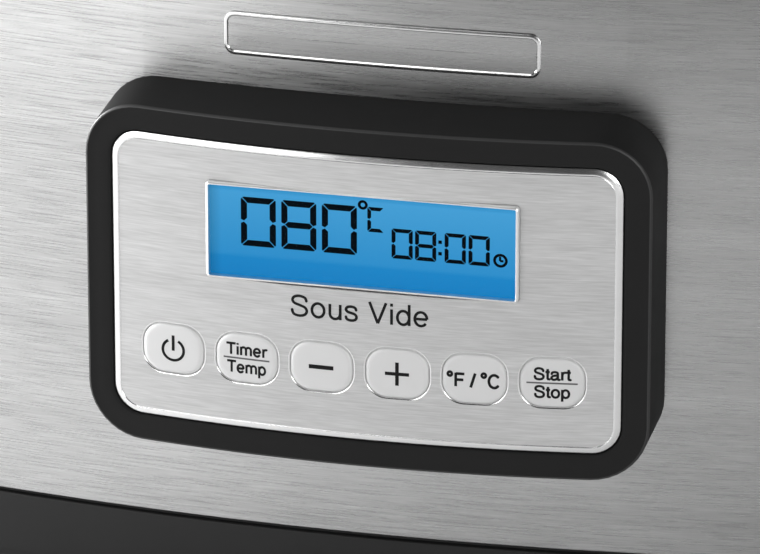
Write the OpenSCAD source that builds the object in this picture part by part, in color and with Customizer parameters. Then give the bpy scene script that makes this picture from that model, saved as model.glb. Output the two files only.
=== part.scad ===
// Sous vide water bath cooker: a brushed steel housing with a curved control panel, a lift-out pot,
// a bag rack and a glass lid. Millimetres, +Z up, the front faces -Y, and the origin is below the
// middle of the whole cooker, on the surface that the feet stand on.

/* [Housing] */
// Width of the steel housing
housing_w = 350; // [340:1:370]
// Depth of the steel housing
housing_d = 264; // [256:1:280]
// Radius of the bulging front and back walls
front_r = 720; // [600:10:900]
// Radius of the bulging side walls
side_r = 400; // [350:10:500]
// Radius of the four upright corners
corner_r = 58; // [55:1:64]
// Height of the steel wall's lower edge
wall_low = 28; // [28:1:32]
// Height of the steel wall's upper edge
wall_high = 194; // [190:1:198]

/* [Control panel] */
// Width of the black bezel
panel_w = 150; // [146:1:154]
// Height of the black bezel
panel_h = 94; // [92:1:98]
// Outer corner radius of the bezel
panel_corner = 15; // [13:1:16]
// Width of the bezel's front border
bezel_w = 7; // [6.5:0.5:7.5]
// How far the bezel stands out of the housing at its middle
panel_out = 24; // [23:1:26]
// Radius of the panel's curved front
panel_r = 400; // [380:10:450]
// Height of the panel's centre
panel_z = 105; // [104:1:108]

/* [Keys] */
// Width of a key
key_w = 16.5; // [15:0.1:17]
// Height of a key
key_h = 13.5; // [13:0.1:15]
// Distance from key to key
key_pitch = 20.2; // [19.8:0.1:20.6]
// How far a key moves when it is pressed
key_travel = 0.6; // [0.4:0.1:0.8]

/* [Display] */
// Width of the display window
window_w = 81.2; // [78:0.2:83]
// Height of the display window
window_h = 25.2; // [24:0.2:26]

/* [Water bath] */
// Thickness of the pot's wall
pot_wall = 2; // [1.5:0.1:2.5]
// Height of the heating plate's top, where the pot stands
plate_top = 50; // [49:0.5:52]
// Rise of the glass dome
dome_rise = 13; // [10:1:16]
// Diameter of the lid's knob
knob_d = 46; // [40:1:52]

/* [Hidden] */
$fn = 48;

steel_t = 1;            // housing sheet
well_t = 0.8;           // liner sheet
fit = 0.2;              // clearance between neighbours
cover_z = 6;            // underside of the bottom cover
cover_t = 2.5;
foot_x = 120;
foot_y = 78;
rim_top = 204;          // top of the black rim
well_u = 26.5;          // how far the liner's outer face lies inside the housing
well_low = 34;
pot_u = 29.5;           // how far the pot's outer face lies inside the housing
pot_top = rim_top + 0.3;
flange_t = 2;
lid_z = pot_top + flange_t + 0.1;

// The shapes below are drawn round the middle of the housing. The panel reaches further out in front
// than the inlet does behind, so the whole cooker is set back to put its middle at the origin.
module centred() translate([0, -(key_front + inlet_back) / 2, 0]) children();

// ---- The housing outline: eight tangent arcs, offset inward by u ----

front_c = [0, -housing_d / 2 + front_r];
side_c = [housing_w / 2 - side_r, 0];
corner_c = circles_meet(front_c, front_r - corner_r, side_c, side_r - corner_r);
front_a = atan2(corner_c[1] - front_c[1], corner_c[0] - front_c[0]);
side_a = atan2(corner_c[1] - side_c[1], corner_c[0] - side_c[0]);

// Where two circles meet, on the front right
function circles_meet(c1, r1, c2, r2) =
    let (d = norm(c2 - c1), along = (r1 * r1 - r2 * r2 + d * d) / (2 * d), e = (c2 - c1) / d,
         h = sqrt(r1 * r1 - along * along), m = c1 + along * e, p = m + h * [e[1], -e[0]])
    p[0] > 0 ? p : m - h * [e[1], -e[0]];

function arc(c, r, a0, a1, n) =
    [for (i = [0 : n - 1]) let (a = a0 + (a1 - a0) * i / n) [c[0] + r * cos(a), c[1] + r * sin(a)]];

function outline(u) = concat(
    arc(front_c, front_r - u, -180 - front_a, front_a, 8),
    arc(corner_c, corner_r - u, front_a, side_a, 12),
    arc(side_c, side_r - u, side_a, -side_a, 6),
    arc([corner_c[0], -corner_c[1]], corner_r - u, -side_a, -front_a, 12),
    arc(-front_c, front_r - u, -front_a, 180 + front_a, 8),
    arc(-corner_c, corner_r - u, 180 + front_a, 180 + side_a, 12),
    arc(-side_c, side_r - u, 180 + side_a, 180 - side_a, 6),
    arc([-corner_c[0], corner_c[1]], corner_r - u, 180 - side_a, 180 - front_a, 12)
);

module prism(u, z0, z1) translate([0, 0, z0]) linear_extrude(z1 - z0) polygon(outline(u));

module ring(u0, u1, z0, z1) difference() {
    prism(u0, z0, z1);
    prism(u1, z0 - 1, z1 + 1);
}

// A closed ring round the outline, whose section is a loop of [u, z] points
module sweep(section) {
    n = len(outline(0));
    m = len(section);
    points = [for (s = section) for (p = outline(s[0])) [p[0], p[1], s[1]]];
    faces = [for (j = [0 : m - 1]) for (i = [0 : n - 1])
        let (k = (j + 1) % m, l = (i + 1) % n) [j * n + i, k * n + i, k * n + l, j * n + l]];
    polyhedron(points, faces);
}

// A solid whose surface runs through a ring at each [u, z] point, closed by a flat cap at each end
module vessel(section) {
    n = len(outline(0));
    m = len(section);
    points = [for (s = section) for (p = outline(s[0])) [p[0], p[1], s[1]]];
    sides = [for (j = [0 : m - 2]) for (i = [0 : n - 1])
        let (l = (i + 1) % n) [j * n + i, (j + 1) * n + i, (j + 1) * n + l, j * n + l]];
    first = [for (i = [0 : n - 1]) i];
    last = [for (i = [0 : n - 1]) m * n - 1 - i];
    polyhedron(points, concat(sides, [first, last]));
}

// ---- Shared small shapes ----

// A rectangle with true round corners
module rounded(w, h, r) {
    square([w - 2 * r, h], center = true);
    square([w, h - 2 * r], center = true);
    for (x = [-1, 1], y = [-1, 1]) translate([x * (w / 2 - r), y * (h / 2 - r)]) circle(r);
}

// A flat shape on the panel, pushed along Y from y0 to y1, with the panel's centre as its origin
module along_y(y0, y1) translate([0, y1, panel_z]) rotate([90, 0, 0]) linear_extrude(y1 - y0) children();

// A shape on the panel, kept only between two radii of the curved front
module curved(r_out, r_in) intersection() {
    along_y(-housing_d / 2 - panel_out - 4, -housing_d / 2 + 10) children();
    difference() {
        panel_cylinder(r_out);
        panel_cylinder(r_in);
    }
}

front_y = -housing_d / 2 - panel_out;       // front of the bezel at its middle
key_proud = 0.2;                            // how far the keys stand out of the bezel's curve
key_front = front_y - key_proud;
panel_c = front_y + panel_r;                // centre of the panel's curve

module panel_cylinder(r) translate([0, panel_c, panel_z - 80]) cylinder(r = r, h = 160, $fn = 240);

module body_cylinder(r) translate([0, front_c[1], panel_z - 80]) cylinder(r = r, h = 160, $fn = 240);

module rod(a, b, r) {
    d = b - a;
    length = norm(d);
    translate(a) rotate([0, acos(d[2] / length), atan2(d[1], d[0])]) cylinder(r = r, h = length, $fn = 24);
}

// A screw along +Z with its head's underside at z = 0
module screw(r, length, head_r, head_t) {
    translate([0, 0, -length]) cylinder(r = r, h = length);
    difference() {
        cylinder(r = head_r, h = head_t);
        for (a = [0, 90]) rotate(a) translate([-head_r * 0.6, -head_r * 0.12, head_t * 0.45])
            cube([head_r * 1.2, head_r * 0.24, head_t]);
    }
}

// ---- Base ----

module base_ring() color([0.09, 0.09, 0.09]) sweep([
    [4, cover_z], [1.2, cover_z + 1.2], [0, cover_z + 4], [0, wall_low - 1.2], [1.6, wall_low - 1.2],
    [1.6, wall_low], [5, wall_low], [5, cover_z + cover_t + fit], [5.5, cover_z + cover_t + fit],
    [5.5, cover_z]
]);

module vent_slots() for (x = [-2 : 2], y = [-1, 1]) translate([x * 14, y * 92, cover_z - 1])
    linear_extrude(cover_t + 2) rounded(4, 26, 1.9);

foot_places = [for (x = [-foot_x, foot_x], y = [-foot_y, foot_y]) [x, y]];
cover_screw_places = [for (x = [-100, 100], y = [-102, 102]) [x, y]];
board_posts = [for (x = [-50, 50], y = [-30, 30]) [x, y - 20]];

module bottom_cover() color([0.11, 0.11, 0.11]) difference() {
    union() {
        prism(5.7, cover_z, cover_z + cover_t);
        for (p = board_posts) translate([p[0], p[1], cover_z]) cylinder(r = 3.5, h = 6.5);
    }
    vent_slots();
    for (p = cover_screw_places) translate([p[0], p[1], cover_z - 1]) cylinder(r = 2, h = cover_t + 2);
    for (p = foot_places) translate([p[0], p[1], cover_z - 1]) cylinder(r = 3.2, h = cover_t + 2);
    for (p = board_posts) translate([p[0], p[1], cover_z + 2]) cylinder(r = 1.2, h = 6);
}

// Round feet with a plug that is pushed up through the cover
module rubber_feet() color([0.05, 0.05, 0.05]) for (p = foot_places) translate([p[0], p[1], 0])
    rotate_extrude() polygon([
        [0, 0], [9.5, 0], [10.5, 1], [11.5, cover_z], [3, cover_z], [3, cover_z + cover_t],
        [4, cover_z + cover_t], [2.4, cover_z + cover_t + 2.5], [0, cover_z + cover_t + 2.5]
    ]);

module cover_screws() color([0.6, 0.6, 0.6]) for (p = cover_screw_places)
    translate([p[0], p[1], cover_z]) mirror([0, 0, 1]) screw(1.8, 10, 3.6, 1.8);

// ---- Housing ----

panel_screw_in = 7.1;    // from the bezel's outer edges to its screws
panel_screw_places = [for (x = [-1, 1], z = [-1, 1])
    [x * (panel_w / 2 - panel_screw_in), z * (panel_h / 2 - panel_screw_in)]];
panel_hole_r = 1.8;
inlet_z = 49;
inlet_face = housing_d / 2 + 1.9;
inlet_screw_x = 20;
inlet_screw_head = 1.2;
inlet_back = inlet_face + inlet_screw_head;
handle_out = 28;
handle_l = 124;
handle_t = 20;
handle_arm = 18;         // width of each of the handle's two arms
handle_screw_y = (handle_l - handle_arm) / 2;
handle_z = 160;

module housing_shell() color([0.72, 0.72, 0.72]) difference() {
    ring(0, steel_t, wall_low, wall_high);
    along_y(-housing_d / 2 - 5, -housing_d / 2 + 20) {
        rounded(128, 72, 6);
        for (p = panel_screw_places) translate(p) circle(panel_hole_r);
    }
    translate([0, inlet_face, inlet_z]) rotate([90, 0, 0]) linear_extrude(20) {
        rounded(29, 22, 3);
        for (s = [-1, 1]) translate([s * inlet_screw_x, 0]) circle(1.8);
    }
    for (s = [-1, 1], y = [-handle_screw_y, handle_screw_y])
        translate([s * (housing_w / 2 - 6), y, handle_z]) rotate([0, 90, 0])
            cylinder(r = 2.3, h = 24, center = true);
}

badge_w = 84;
badge_h = 12;
badge_z = 61.5;          // above the panel's centre

// A blank name plate on the front wall
module badge_plate() color([0.8, 0.8, 0.8]) intersection() {
    translate([0, 0, badge_z]) along_y(-housing_d / 2 - 4, -housing_d / 2 + 4) rounded(badge_w, badge_h, 3);
    difference() {
        translate([0, 0, badge_z]) body_cylinder(front_r + 0.9);
        translate([0, 0, badge_z]) body_cylinder(front_r + 0.1);
    }
}

module top_rim() color([0.07, 0.07, 0.07]) sweep([
    [-2, wall_high - 4], [-2, rim_top - 4.5], [-1.2, rim_top - 2], [1.5, rim_top],
    [24.5, rim_top], [26, rim_top - 1.2], [26, rim_top - 3.5], [3, rim_top - 3.5],
    [3, wall_high - 3], [1.2, wall_high - 3], [1.2, wall_high + 1], [-fit, wall_high + 1],
    [-fit, wall_high - 4]
]);

// ---- Heating well ----

terminal_x = 46;

module inner_well() color([0.7, 0.7, 0.7]) difference() {
    union() {
        ring(well_u, well_u + well_t, well_low, rim_top - 3.7);
        ring(6, well_u + well_t, rim_top - 4.5, rim_top - 3.7);
        prism(well_u + well_t / 2, well_low, well_low + 1);
    }
    translate([0, 0, well_low - 1]) cylinder(r = 3.5, h = 4);
    for (x = [-terminal_x, terminal_x]) translate([x, 40, well_low - 1]) cylinder(r = 5, h = 4);
}

module insulation_jacket() color([0.85, 0.8, 0.6]) ring(15, well_u - 0.5, 64, wall_high - 12);

module heating_plate() color([0.6, 0.6, 0.62]) translate([0, 0, plate_top - 8]) difference() {
    linear_extrude(8) rounded(210, 140, 40);
    translate([0, 0, -1]) cylinder(r = 14, h = 10);
}

// The sheathed element: a flat oval loop under the plate, with two cold ends down through the liner
module heater_element() color([0.35, 0.33, 0.32]) {
    loop_x = 44;
    loop_y = 40;
    tube = 3.2;
    z = plate_top - 8 - tube - 0.1;
    for (s = [-1, 1]) {
        translate([s * loop_x, 0, z]) rotate(s > 0 ? -90 : 90)
            rotate_extrude(angle = 180) translate([loop_y, 0]) circle(tube, $fn = 24);
        translate([s * terminal_x, loop_y, well_low - 8]) cylinder(r = 2.6, h = z - well_low + 8);
    }
    rod([-loop_x, -loop_y, z], [loop_x, -loop_y, z], tube);
    for (s = [-1, 1]) rod([s * loop_x, loop_y, z], [s * 14, loop_y, z], tube);
}

// ---- Spring-loaded temperature probe under the pot ----

module probe_sensor() color([0.75, 0.75, 0.77]) {
    stop_z = well_low - 0.3;
    rotate_extrude() polygon([
        [0, plate_top], [11.5, plate_top], [12, plate_top - 0.5], [12, plate_top - 8], [11, plate_top - 8],
        [11, plate_top - 2], [3, plate_top - 2], [3, stop_z], [4.6, stop_z], [4.6, stop_z - 1.2],
        [0, stop_z - 1.2]
    ]);
}

spring_low = well_low + 1;
spring_high = plate_top - 2;
spring_turns = 5;
spring_r = 6;
spring_wire = 0.6;

function spring_point(t) = [spring_r * cos(360 * spring_turns * t), spring_r * sin(360 * spring_turns * t),
    spring_low + spring_wire + 0.05 + (spring_high - spring_low - 2 * spring_wire - 0.1) * t];

module probe_spring() color([0.7, 0.7, 0.7]) {
    steps = spring_turns * 14;
    sides = 6;
    points = [for (i = [0 : steps]) for (k = [0 : sides - 1])
        let (a = 360 * spring_turns * i / steps, b = 360 * k / sides, c = spring_point(i / steps))
        c + spring_wire * [cos(b) * cos(a), cos(b) * sin(a), sin(b)]];
    walls = [for (i = [0 : steps - 1]) for (k = [0 : sides - 1])
        let (l = (k + 1) % sides) [i * sides + k, i * sides + l, (i + 1) * sides + l, (i + 1) * sides + k]];
    ends = [[for (k = [0 : sides - 1]) sides - 1 - k], [for (k = [0 : sides - 1]) steps * sides + k]];
    polyhedron(points, concat(walls, ends));
}

module thermal_fuse() color([0.85, 0.83, 0.75]) translate([-20, 20, well_low - 4])
    rotate([0, 90, 0]) cylinder(r = 2.2, h = 14, center = true);

module fuse_clip() color([0.7, 0.7, 0.7]) translate([-20, 20, 0]) difference() {
    translate([-4, -9, well_low - 7]) cube([8, 12.5, 7]);
    translate([-5, -10, well_low - 8]) cube([10, 6.5, 7]);
    translate([0, 0, well_low - 4]) rotate([0, 90, 0]) cylinder(r = 2.3, h = 12, center = true);
}

// ---- Power electronics in the base ----

board_z = cover_z + 6.5;
board_t = 1.6;
board_front = -57;

module power_board() color([0.1, 0.35, 0.15]) difference() {
    translate([-58, board_front, board_z]) cube([116, 74, board_t]);
    for (p = board_posts) translate([p[0], p[1], board_z - 1]) cylinder(r = 1.6, h = 4);
}

module power_board_screws() color([0.7, 0.7, 0.7]) for (p = board_posts)
    translate([p[0], p[1], board_z + board_t]) screw(1.1, 5.8, 2.6, 1.4);

module transformer() color([0.2, 0.2, 0.22]) translate([-24, -20, board_z + board_t]) {
    translate([-16, -13, 0]) cube([32, 26, 14]);
    translate([-11, -16, 1]) cube([22, 32, 11]);
}

module relay() color([0.1, 0.2, 0.5]) translate([16, -34, board_z + board_t]) cube([19, 15.5, 15]);

module capacitor() color([0.1, 0.1, 0.25]) translate([20, 2, board_z + board_t]) cylinder(r = 5, h = 15);

// Insulated leads from the board up to the element's two cold ends
module heater_leads() color([0.8, 0.8, 0.78]) for (s = [-1, 1]) {
    z = board_z + 5;
    rod([s * 42, 8, board_z + board_t + 0.1], [s * 42, 8, z + 1.2], 1.4);
    rod([s * 42, 8, z], [s * terminal_x, 40, z], 1.2);
    rod([s * terminal_x, 40, z - 1.2], [s * terminal_x, 40, well_low - 8.1], 1.4);
}

// A flat lead from the power board, up behind the front wall, to the control board
module ribbon_cable() color([0.75, 0.75, 0.75]) {
    w = 12;
    t = 1;
    x = 24;
    wall_y = -housing_d / 2 + 8;
    low = board_z + board_t + 0.1;
    plug_y = board_y + board_t + 0.1;
    board_end = board_front + 8;
    translate([x, wall_y, low]) cube([w, board_end - wall_y, t]);
    translate([x, wall_y, low]) cube([w, t, panel_z - low]);
    translate([x, plug_y, panel_z - t]) cube([w, wall_y - plug_y + t, t]);
}

// ---- Mains inlet on the back ----

inlet_recess = 16.5;
inlet_pin_places = [[-7, -2], [7, -2], [0, 2]];

module inlet_socket() color([0.06, 0.06, 0.06]) translate([0, inlet_face, inlet_z]) rotate([90, 0, 0])
    difference() {
        union() {
            linear_extrude(1.8) rounded(50, 26, 6);
            linear_extrude(21) rounded(28.4, 21.4, 2.8);
        }
        translate([0, 0, -1]) linear_extrude(inlet_recess + 1) rounded(24.4, 17, 2);
        for (s = [-1, 1]) translate([s * inlet_screw_x, 0, -1]) cylinder(r = 1.7, h = 4);
        for (p = inlet_pin_places) translate(p) cylinder(r = 1.5, h = 30);
    }

module inlet_pins() color([0.75, 0.75, 0.78]) for (p = inlet_pin_places)
    translate([p[0], inlet_face - inlet_recess + 0.1, inlet_z + p[1]]) {
        translate([-1, 0, -2]) cube([2, 11, 4]);
        rotate([90, 0, 0]) cylinder(r = 1.4, h = 8);
    }

module inlet_screws() color([0.75, 0.75, 0.75]) for (s = [-1, 1])
    translate([s * inlet_screw_x, inlet_face, inlet_z]) rotate([-90, 0, 0])
        screw(1.5, 8, 2.8, inlet_screw_head);

// ---- Side handles ----

// A loop handle on the right wall: two arms, an outer bar and a gap for the fingers
module handle() translate([0, 0, handle_z - handle_t / 2]) difference() {
    linear_extrude(handle_t) difference() {
        translate([housing_w / 2 + handle_out / 2 - 8, 0]) rounded(handle_out + 16, handle_l, 14);
        translate([housing_w / 2 + 9, 0]) rounded(18, handle_l - 2 * handle_arm, 7);
    }
    translate([side_c[0], 0, -1]) cylinder(r = side_r + 0.1, h = handle_t + 2, $fn = 240);
    for (y = [-handle_screw_y, handle_screw_y]) translate([housing_w / 2 - 10, y, handle_t / 2])
        rotate([0, 90, 0]) cylinder(r = 1.7, h = 22);
}

module handle_left() color([0.07, 0.07, 0.07]) mirror([1, 0, 0]) handle();

module handle_right() color([0.07, 0.07, 0.07]) handle();

// The inner face of the side wall at the handle's screws
handle_screw_x = side_c[0] + sqrt(pow(side_r - steel_t, 2) - pow(handle_screw_y, 2));

module handle_screws() color([0.7, 0.7, 0.7]) for (s = [-1, 1], y = [-handle_screw_y, handle_screw_y])
    translate([s * (handle_screw_x - 1), y, handle_z]) rotate([0, s * -90, 0]) screw(1.6, 14, 3.2, 1.8);

// ---- Control panel ----

open_w = panel_w - 2 * bezel_w;
open_h = panel_h - 2 * bezel_w;
open_r = panel_corner - bezel_w;
plate_r = panel_r - 0.4;       // front of the steel face plate
plate_back = plate_r - 1.5;
lip_back = panel_r - 2;        // back of the bezel's front lip
carrier_r = lip_back - 0.1;
carrier_back = carrier_r - 2.5;
board_y = front_y + 14.2;      // front of the control board
window_z = 15.6;               // display centre, above the panel's centre
key_z = -19.9;                 // key centres, below the panel's centre
key_row_x = -0.45;             // the key row's middle, from the panel's centre
trim_y = front_y + 0.9;        // the flat trim's front: it stands out of the plate's ends
trim_w = 0.8;                  // width of the trim's bright front edge
trim_flange_y = front_y + 7.05;
lens_y = trim_y + 0.35;
lens_t = 1;                    // thickness of the display lens
lcd_y = lens_y + lens_t + 0.1;
lcd_t = 1.8;                   // thickness of the display's glass

// Depth of the panel's curved surface of radius r at a distance x from its middle
function panel_y(r, x) = panel_c - sqrt(r * r - x * x);

module bezel_bosses() intersection() {
    along_y(front_y + 1, -housing_d / 2 + 1.6)
        for (p = panel_screw_places) translate(p) circle(3.1);
    difference() {
        panel_cylinder(lip_back + 0.5);
        body_cylinder(front_r + 0.1);
    }
}

module panel_bezel() color([0.08, 0.08, 0.08]) difference() {
    union() {
        difference() {
            intersection() {
                along_y(front_y - 1, -housing_d / 2 + 10) rounded(panel_w, panel_h, panel_corner);
                panel_cylinder(panel_r);
            }
            body_cylinder(front_r + 0.1);
            along_y(front_y - 2, -housing_d / 2 + 20) rounded(open_w, open_h, open_r);
            intersection() {
                along_y(front_y - 2, -housing_d / 2 + 20) rounded(open_w + 6, open_h + 6, open_r + 3);
                panel_cylinder(lip_back);
            }
        }
        bezel_bosses();
    }
    along_y(-housing_d / 2 - 9, -housing_d / 2 + 20) for (p = panel_screw_places) translate(p) circle(1.6);
}

key_places = [for (i = [0 : 5]) key_row_x + (i - 2.5) * key_pitch];

module key_shape(grow) rounded(key_w + 2 * grow, key_h + 2 * grow, 5.5 + grow);

module key_holes(grow) for (x = key_places) translate([x, key_z]) key_shape(grow);

// The display window's outline, grown outward
module window_shape(grow) translate([0, window_z])
    rounded(window_w + 2 * grow, window_h + 2 * grow, 0.4 + max(grow, 0));

module face_plate() color([0.78, 0.78, 0.78]) curved(plate_r, plate_back) difference() {
    rounded(open_w - 0.6, open_h - 0.6, open_r - 0.3);
    window_shape(trim_w + fit / 2);
    key_holes(fit);
}

carrier_posts = [for (x = [-55, 55], z = [-33, 34]) [x, z]];

module panel_carrier() color([0.1, 0.1, 0.1]) {
    curved(carrier_r, carrier_back) difference() {
        rounded(open_w + 5.2, open_h + 5.2, open_r + 2.6);
        window_shape(trim_w + fit);
        key_holes(fit);
        for (p = panel_screw_places) translate(p) circle(3.4);
    }
    difference() {
        intersection() {
            along_y(front_y, board_y) for (p = carrier_posts) translate(p) circle(3);
            panel_cylinder(carrier_r - 1);
        }
        along_y(board_y - 5, board_y + 1) for (p = carrier_posts) translate(p) circle(1.2);
    }
}

// A flat bright frame round the display, held by a flange between the carrier and the LCD's frame
module display_trim() color([0.85, 0.85, 0.85]) difference() {
    union() {
        along_y(trim_y, trim_flange_y + 1.1) window_shape(trim_w);
        along_y(trim_flange_y, trim_flange_y + 1.1) window_shape(2.4);
    }
    along_y(trim_y - 1, trim_flange_y + 2) window_shape(0);
}

module display_lens() color([0.35, 0.65, 0.85, 0.5]) along_y(lens_y, lens_y + lens_t) window_shape(-0.1);

module lcd_glass() color([0.15, 0.5, 0.8]) along_y(lcd_y, lcd_y + lcd_t) window_shape(-0.1);

module backlight() color([0.9, 0.95, 1]) along_y(lcd_y + lcd_t + 0.1, board_y - 1) window_shape(-0.3);

module lcd_frame() color([0.9, 0.9, 0.88]) along_y(trim_flange_y + 1.2, board_y) difference() {
    window_shape(2.2);
    window_shape(0);
}

module control_board() color([0.1, 0.35, 0.15]) {
    along_y(board_y, board_y + board_t) difference() {
        rounded(122, 76, 3);
        for (p = carrier_posts) translate(p) circle(1.7);
    }
    along_y(board_y + board_t, board_y + 2 * board_t) translate([-20, 5]) square([14, 14], center = true);
}

switch_t = 3.5;

module tact_switches() color([0.15, 0.15, 0.15]) along_y(board_y - switch_t, board_y)
    for (x = key_places) translate([x, key_z]) square([6, 6], center = true);

module board_screws() color([0.7, 0.7, 0.7]) for (p = carrier_posts)
    translate([p[0], board_y + board_t, panel_z + p[1]]) rotate([-90, 0, 0]) screw(1.1, 6, 2.4, 1.4);

module panel_rear_plate() color([0.12, 0.12, 0.12]) intersection() {
    along_y(-housing_d / 2 - 2, -housing_d / 2 + 16) difference() {
        rounded(panel_w - 2, panel_h - 2, 12);
        rounded(112, 56, 6);
        for (p = panel_screw_places) translate(p) circle(panel_hole_r);
    }
    difference() {
        body_cylinder(front_r - steel_t - 0.3);
        body_cylinder(front_r - steel_t - 2.5);
    }
}

module panel_screws() color([0.7, 0.7, 0.7]) for (p = panel_screw_places) {
    sag = front_r - sqrt(front_r * front_r - p[0] * p[0]);
    translate([p[0], -housing_d / 2 + sag + steel_t + 3.2, panel_z + p[1]]) rotate([-90, 0, 0])
        screw(1.5, 12, 2.8, 1.8);
}

// A key: a cap that follows the panel's curve, a flange behind the carrier, and a stem to its switch
module key(i) {
    x = key_places[i];
    curved(panel_r + key_proud, carrier_back - 1.5) translate([x, key_z]) key_shape(0);
    curved(carrier_back - 0.2, carrier_back - 1.5) translate([x, key_z]) key_shape(1);
    along_y(panel_y(carrier_back - 1, x), board_y - switch_t - key_travel - 0.1)
        translate([x, key_z]) circle(2);
}

module key_power() color([0.82, 0.82, 0.82]) key(0);
module key_timer() color([0.82, 0.82, 0.82]) key(1);
module key_minus() color([0.82, 0.82, 0.82]) key(2);
module key_plus() color([0.82, 0.82, 0.82]) key(3);
module key_unit() color([0.82, 0.82, 0.82]) key(4);
module key_start() color([0.82, 0.82, 0.82]) key(5);

// ---- Pot and rack ----

pot_in = pot_u + pot_wall;
pot_low = plate_top + 0.2;
floor_z = pot_low + pot_wall;     // the pot's inner floor

module inner_pot() color([0.22, 0.22, 0.23]) vessel([
    [pot_u + 14, pot_low], [pot_u + 6, pot_low], [pot_u + 1.8, pot_low + 1.8], [pot_u, pot_low + 6],
    [pot_u, pot_top], [15, pot_top], [14.2, pot_top + 0.6], [14.2, pot_top + flange_t - 0.6],
    [15, pot_top + flange_t], [pot_in - 1.2, pot_top + flange_t], [pot_in, pot_top + flange_t - 1.2],
    [pot_in, floor_z + 6], [pot_in + 1.6, floor_z + 2], [pot_in + 5.5, floor_z], [pot_in + 14, floor_z]
]);

rack_z = floor_z + 0.3;
rail_r = 2;
wire_r = 1.6;
rack_w = 80;                // half the width of a divider
rack_top = rack_z + 112;
divider_places = [-96, -48, 0, 48, 96];

// One divider: an upright frame with a middle bar, standing on the rails
module divider(x, top) {
    low = rack_z + 2 * rail_r + wire_r;
    for (y = [-rack_w, rack_w]) rod([x, y, low - 0.5], [x, y, top + 0.5], wire_r);
    for (z = [low, (low + rack_top) / 2]) rod([x, -rack_w - 0.5, z], [x, rack_w + 0.5, z], wire_r * 0.9);
    rod([x, -rack_w - 0.5, top], [x, rack_w + 0.5, top], wire_r * 0.9);
}

module rack_rails() color([0.75, 0.75, 0.75])
    for (y = [-58, 58]) rod([-112, y, rack_z + rail_r], [112, y, rack_z + rail_r], rail_r);

module rack_dividers() color([0.75, 0.75, 0.75])
    for (x = divider_places) divider(x, abs(x) > 90 ? rack_top + 22 : rack_top);

// ---- Lid ----

rim_u = 15;
glass_u = 16.4;
glass_z = lid_z + 2.6;
glass_t = 3.6;
dome_u = 54;                // where the dome's side meets its flat top
dome_top = glass_z + glass_t + dome_rise;
dome_r = (pow(dome_u - 23, 2) + dome_rise * dome_rise) / (2 * dome_rise);
dome_steps = 6;

module lid_rim() color([0.8, 0.8, 0.8]) sweep([
    [rim_u, lid_z + 2.4], [rim_u, glass_z + 3.4], [rim_u + 0.8, glass_z + 4.6], [rim_u + 6, glass_z + 4.6],
    [rim_u + 6, glass_z + 3.8], [rim_u + 1, glass_z + 3.8], [rim_u + 1, lid_z + 2.5],
    [34.4, lid_z + 2.5], [34.4, lid_z - 6], [33.6, lid_z - 6], [33.6, lid_z + 1.6], [rim_u + 0.8, lid_z + 1.6]
]);

module lid_seal() color([0.6, 0.6, 0.6]) sweep([
    [19, lid_z + 0.1], [18.4, lid_z + 0.8], [18.4, lid_z + 1.55], [23.6, lid_z + 1.55],
    [23.6, lid_z + 0.8], [23, lid_z + 0.1]
]);

// The dome's side at step i: an arc that ends level with its flat top, t thick
function dome_point(i, t) =
    let (u = 23 + (dome_u - 23) * i / dome_steps, r = dome_r)
    [u, dome_top - t - r + sqrt(r * r - pow(dome_u - u, 2))];

module lid_glass() color([0.8, 0.88, 0.9, 0.35]) difference() {
    vessel(concat(
        [for (i = [dome_steps : -1 : 0]) dome_point(i, glass_t)],
        [[glass_u, glass_z], [glass_u, glass_z + glass_t]],
        [for (i = [0 : dome_steps]) dome_point(i, 0)]
    ));
    translate([0, 0, glass_z]) cylinder(r = 4, h = 60);
    translate([vent_x, 0, glass_z]) cylinder(r = 4, h = 60);
}

vent_x = 78;

module vent_grommet() color([0.75, 0.75, 0.75]) translate([vent_x, 0, 0]) rotate_extrude() polygon([
    [1.4, dome_top - glass_t - 1.2], [6, dome_top - glass_t - 1.2], [6, dome_top - glass_t - 0.1],
    [3.8, dome_top - glass_t - 0.1], [3.8, dome_top + 0.1], [6.4, dome_top + 0.1], [5.8, dome_top + 1.4],
    [1.4, dome_top + 1.4]
]);

module knob_washer() color([0.8, 0.8, 0.8]) rotate_extrude() polygon([
    [2.8, dome_top + 0.1], [15, dome_top + 0.1], [14.2, dome_top + 1.1], [2.8, dome_top + 1.1]
]);

// A mushroom knob with a waist for the fingers
module lid_knob() color([0.07, 0.07, 0.07]) translate([0, 0, dome_top + 1.2]) difference() {
    rotate_extrude() polygon([
        [0, 0], [12.5, 0], [12.5, 1.5], [9.5, 5], [9, 10], [11, 14], [knob_d / 2 - 3, 17], [knob_d / 2, 19.5],
        [knob_d / 2, 22], [knob_d / 2 - 3, 25.5], [knob_d / 2 - 9, 27.5], [0, 28.2]
    ]);
    translate([0, 0, -1]) cylinder(r = 2.1, h = 16);
}

module knob_screw() color([0.75, 0.75, 0.75]) translate([0, 0, dome_top - glass_t - 0.1])
    mirror([0, 0, 1]) screw(2, glass_t + 14, 6.5, 2);

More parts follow.
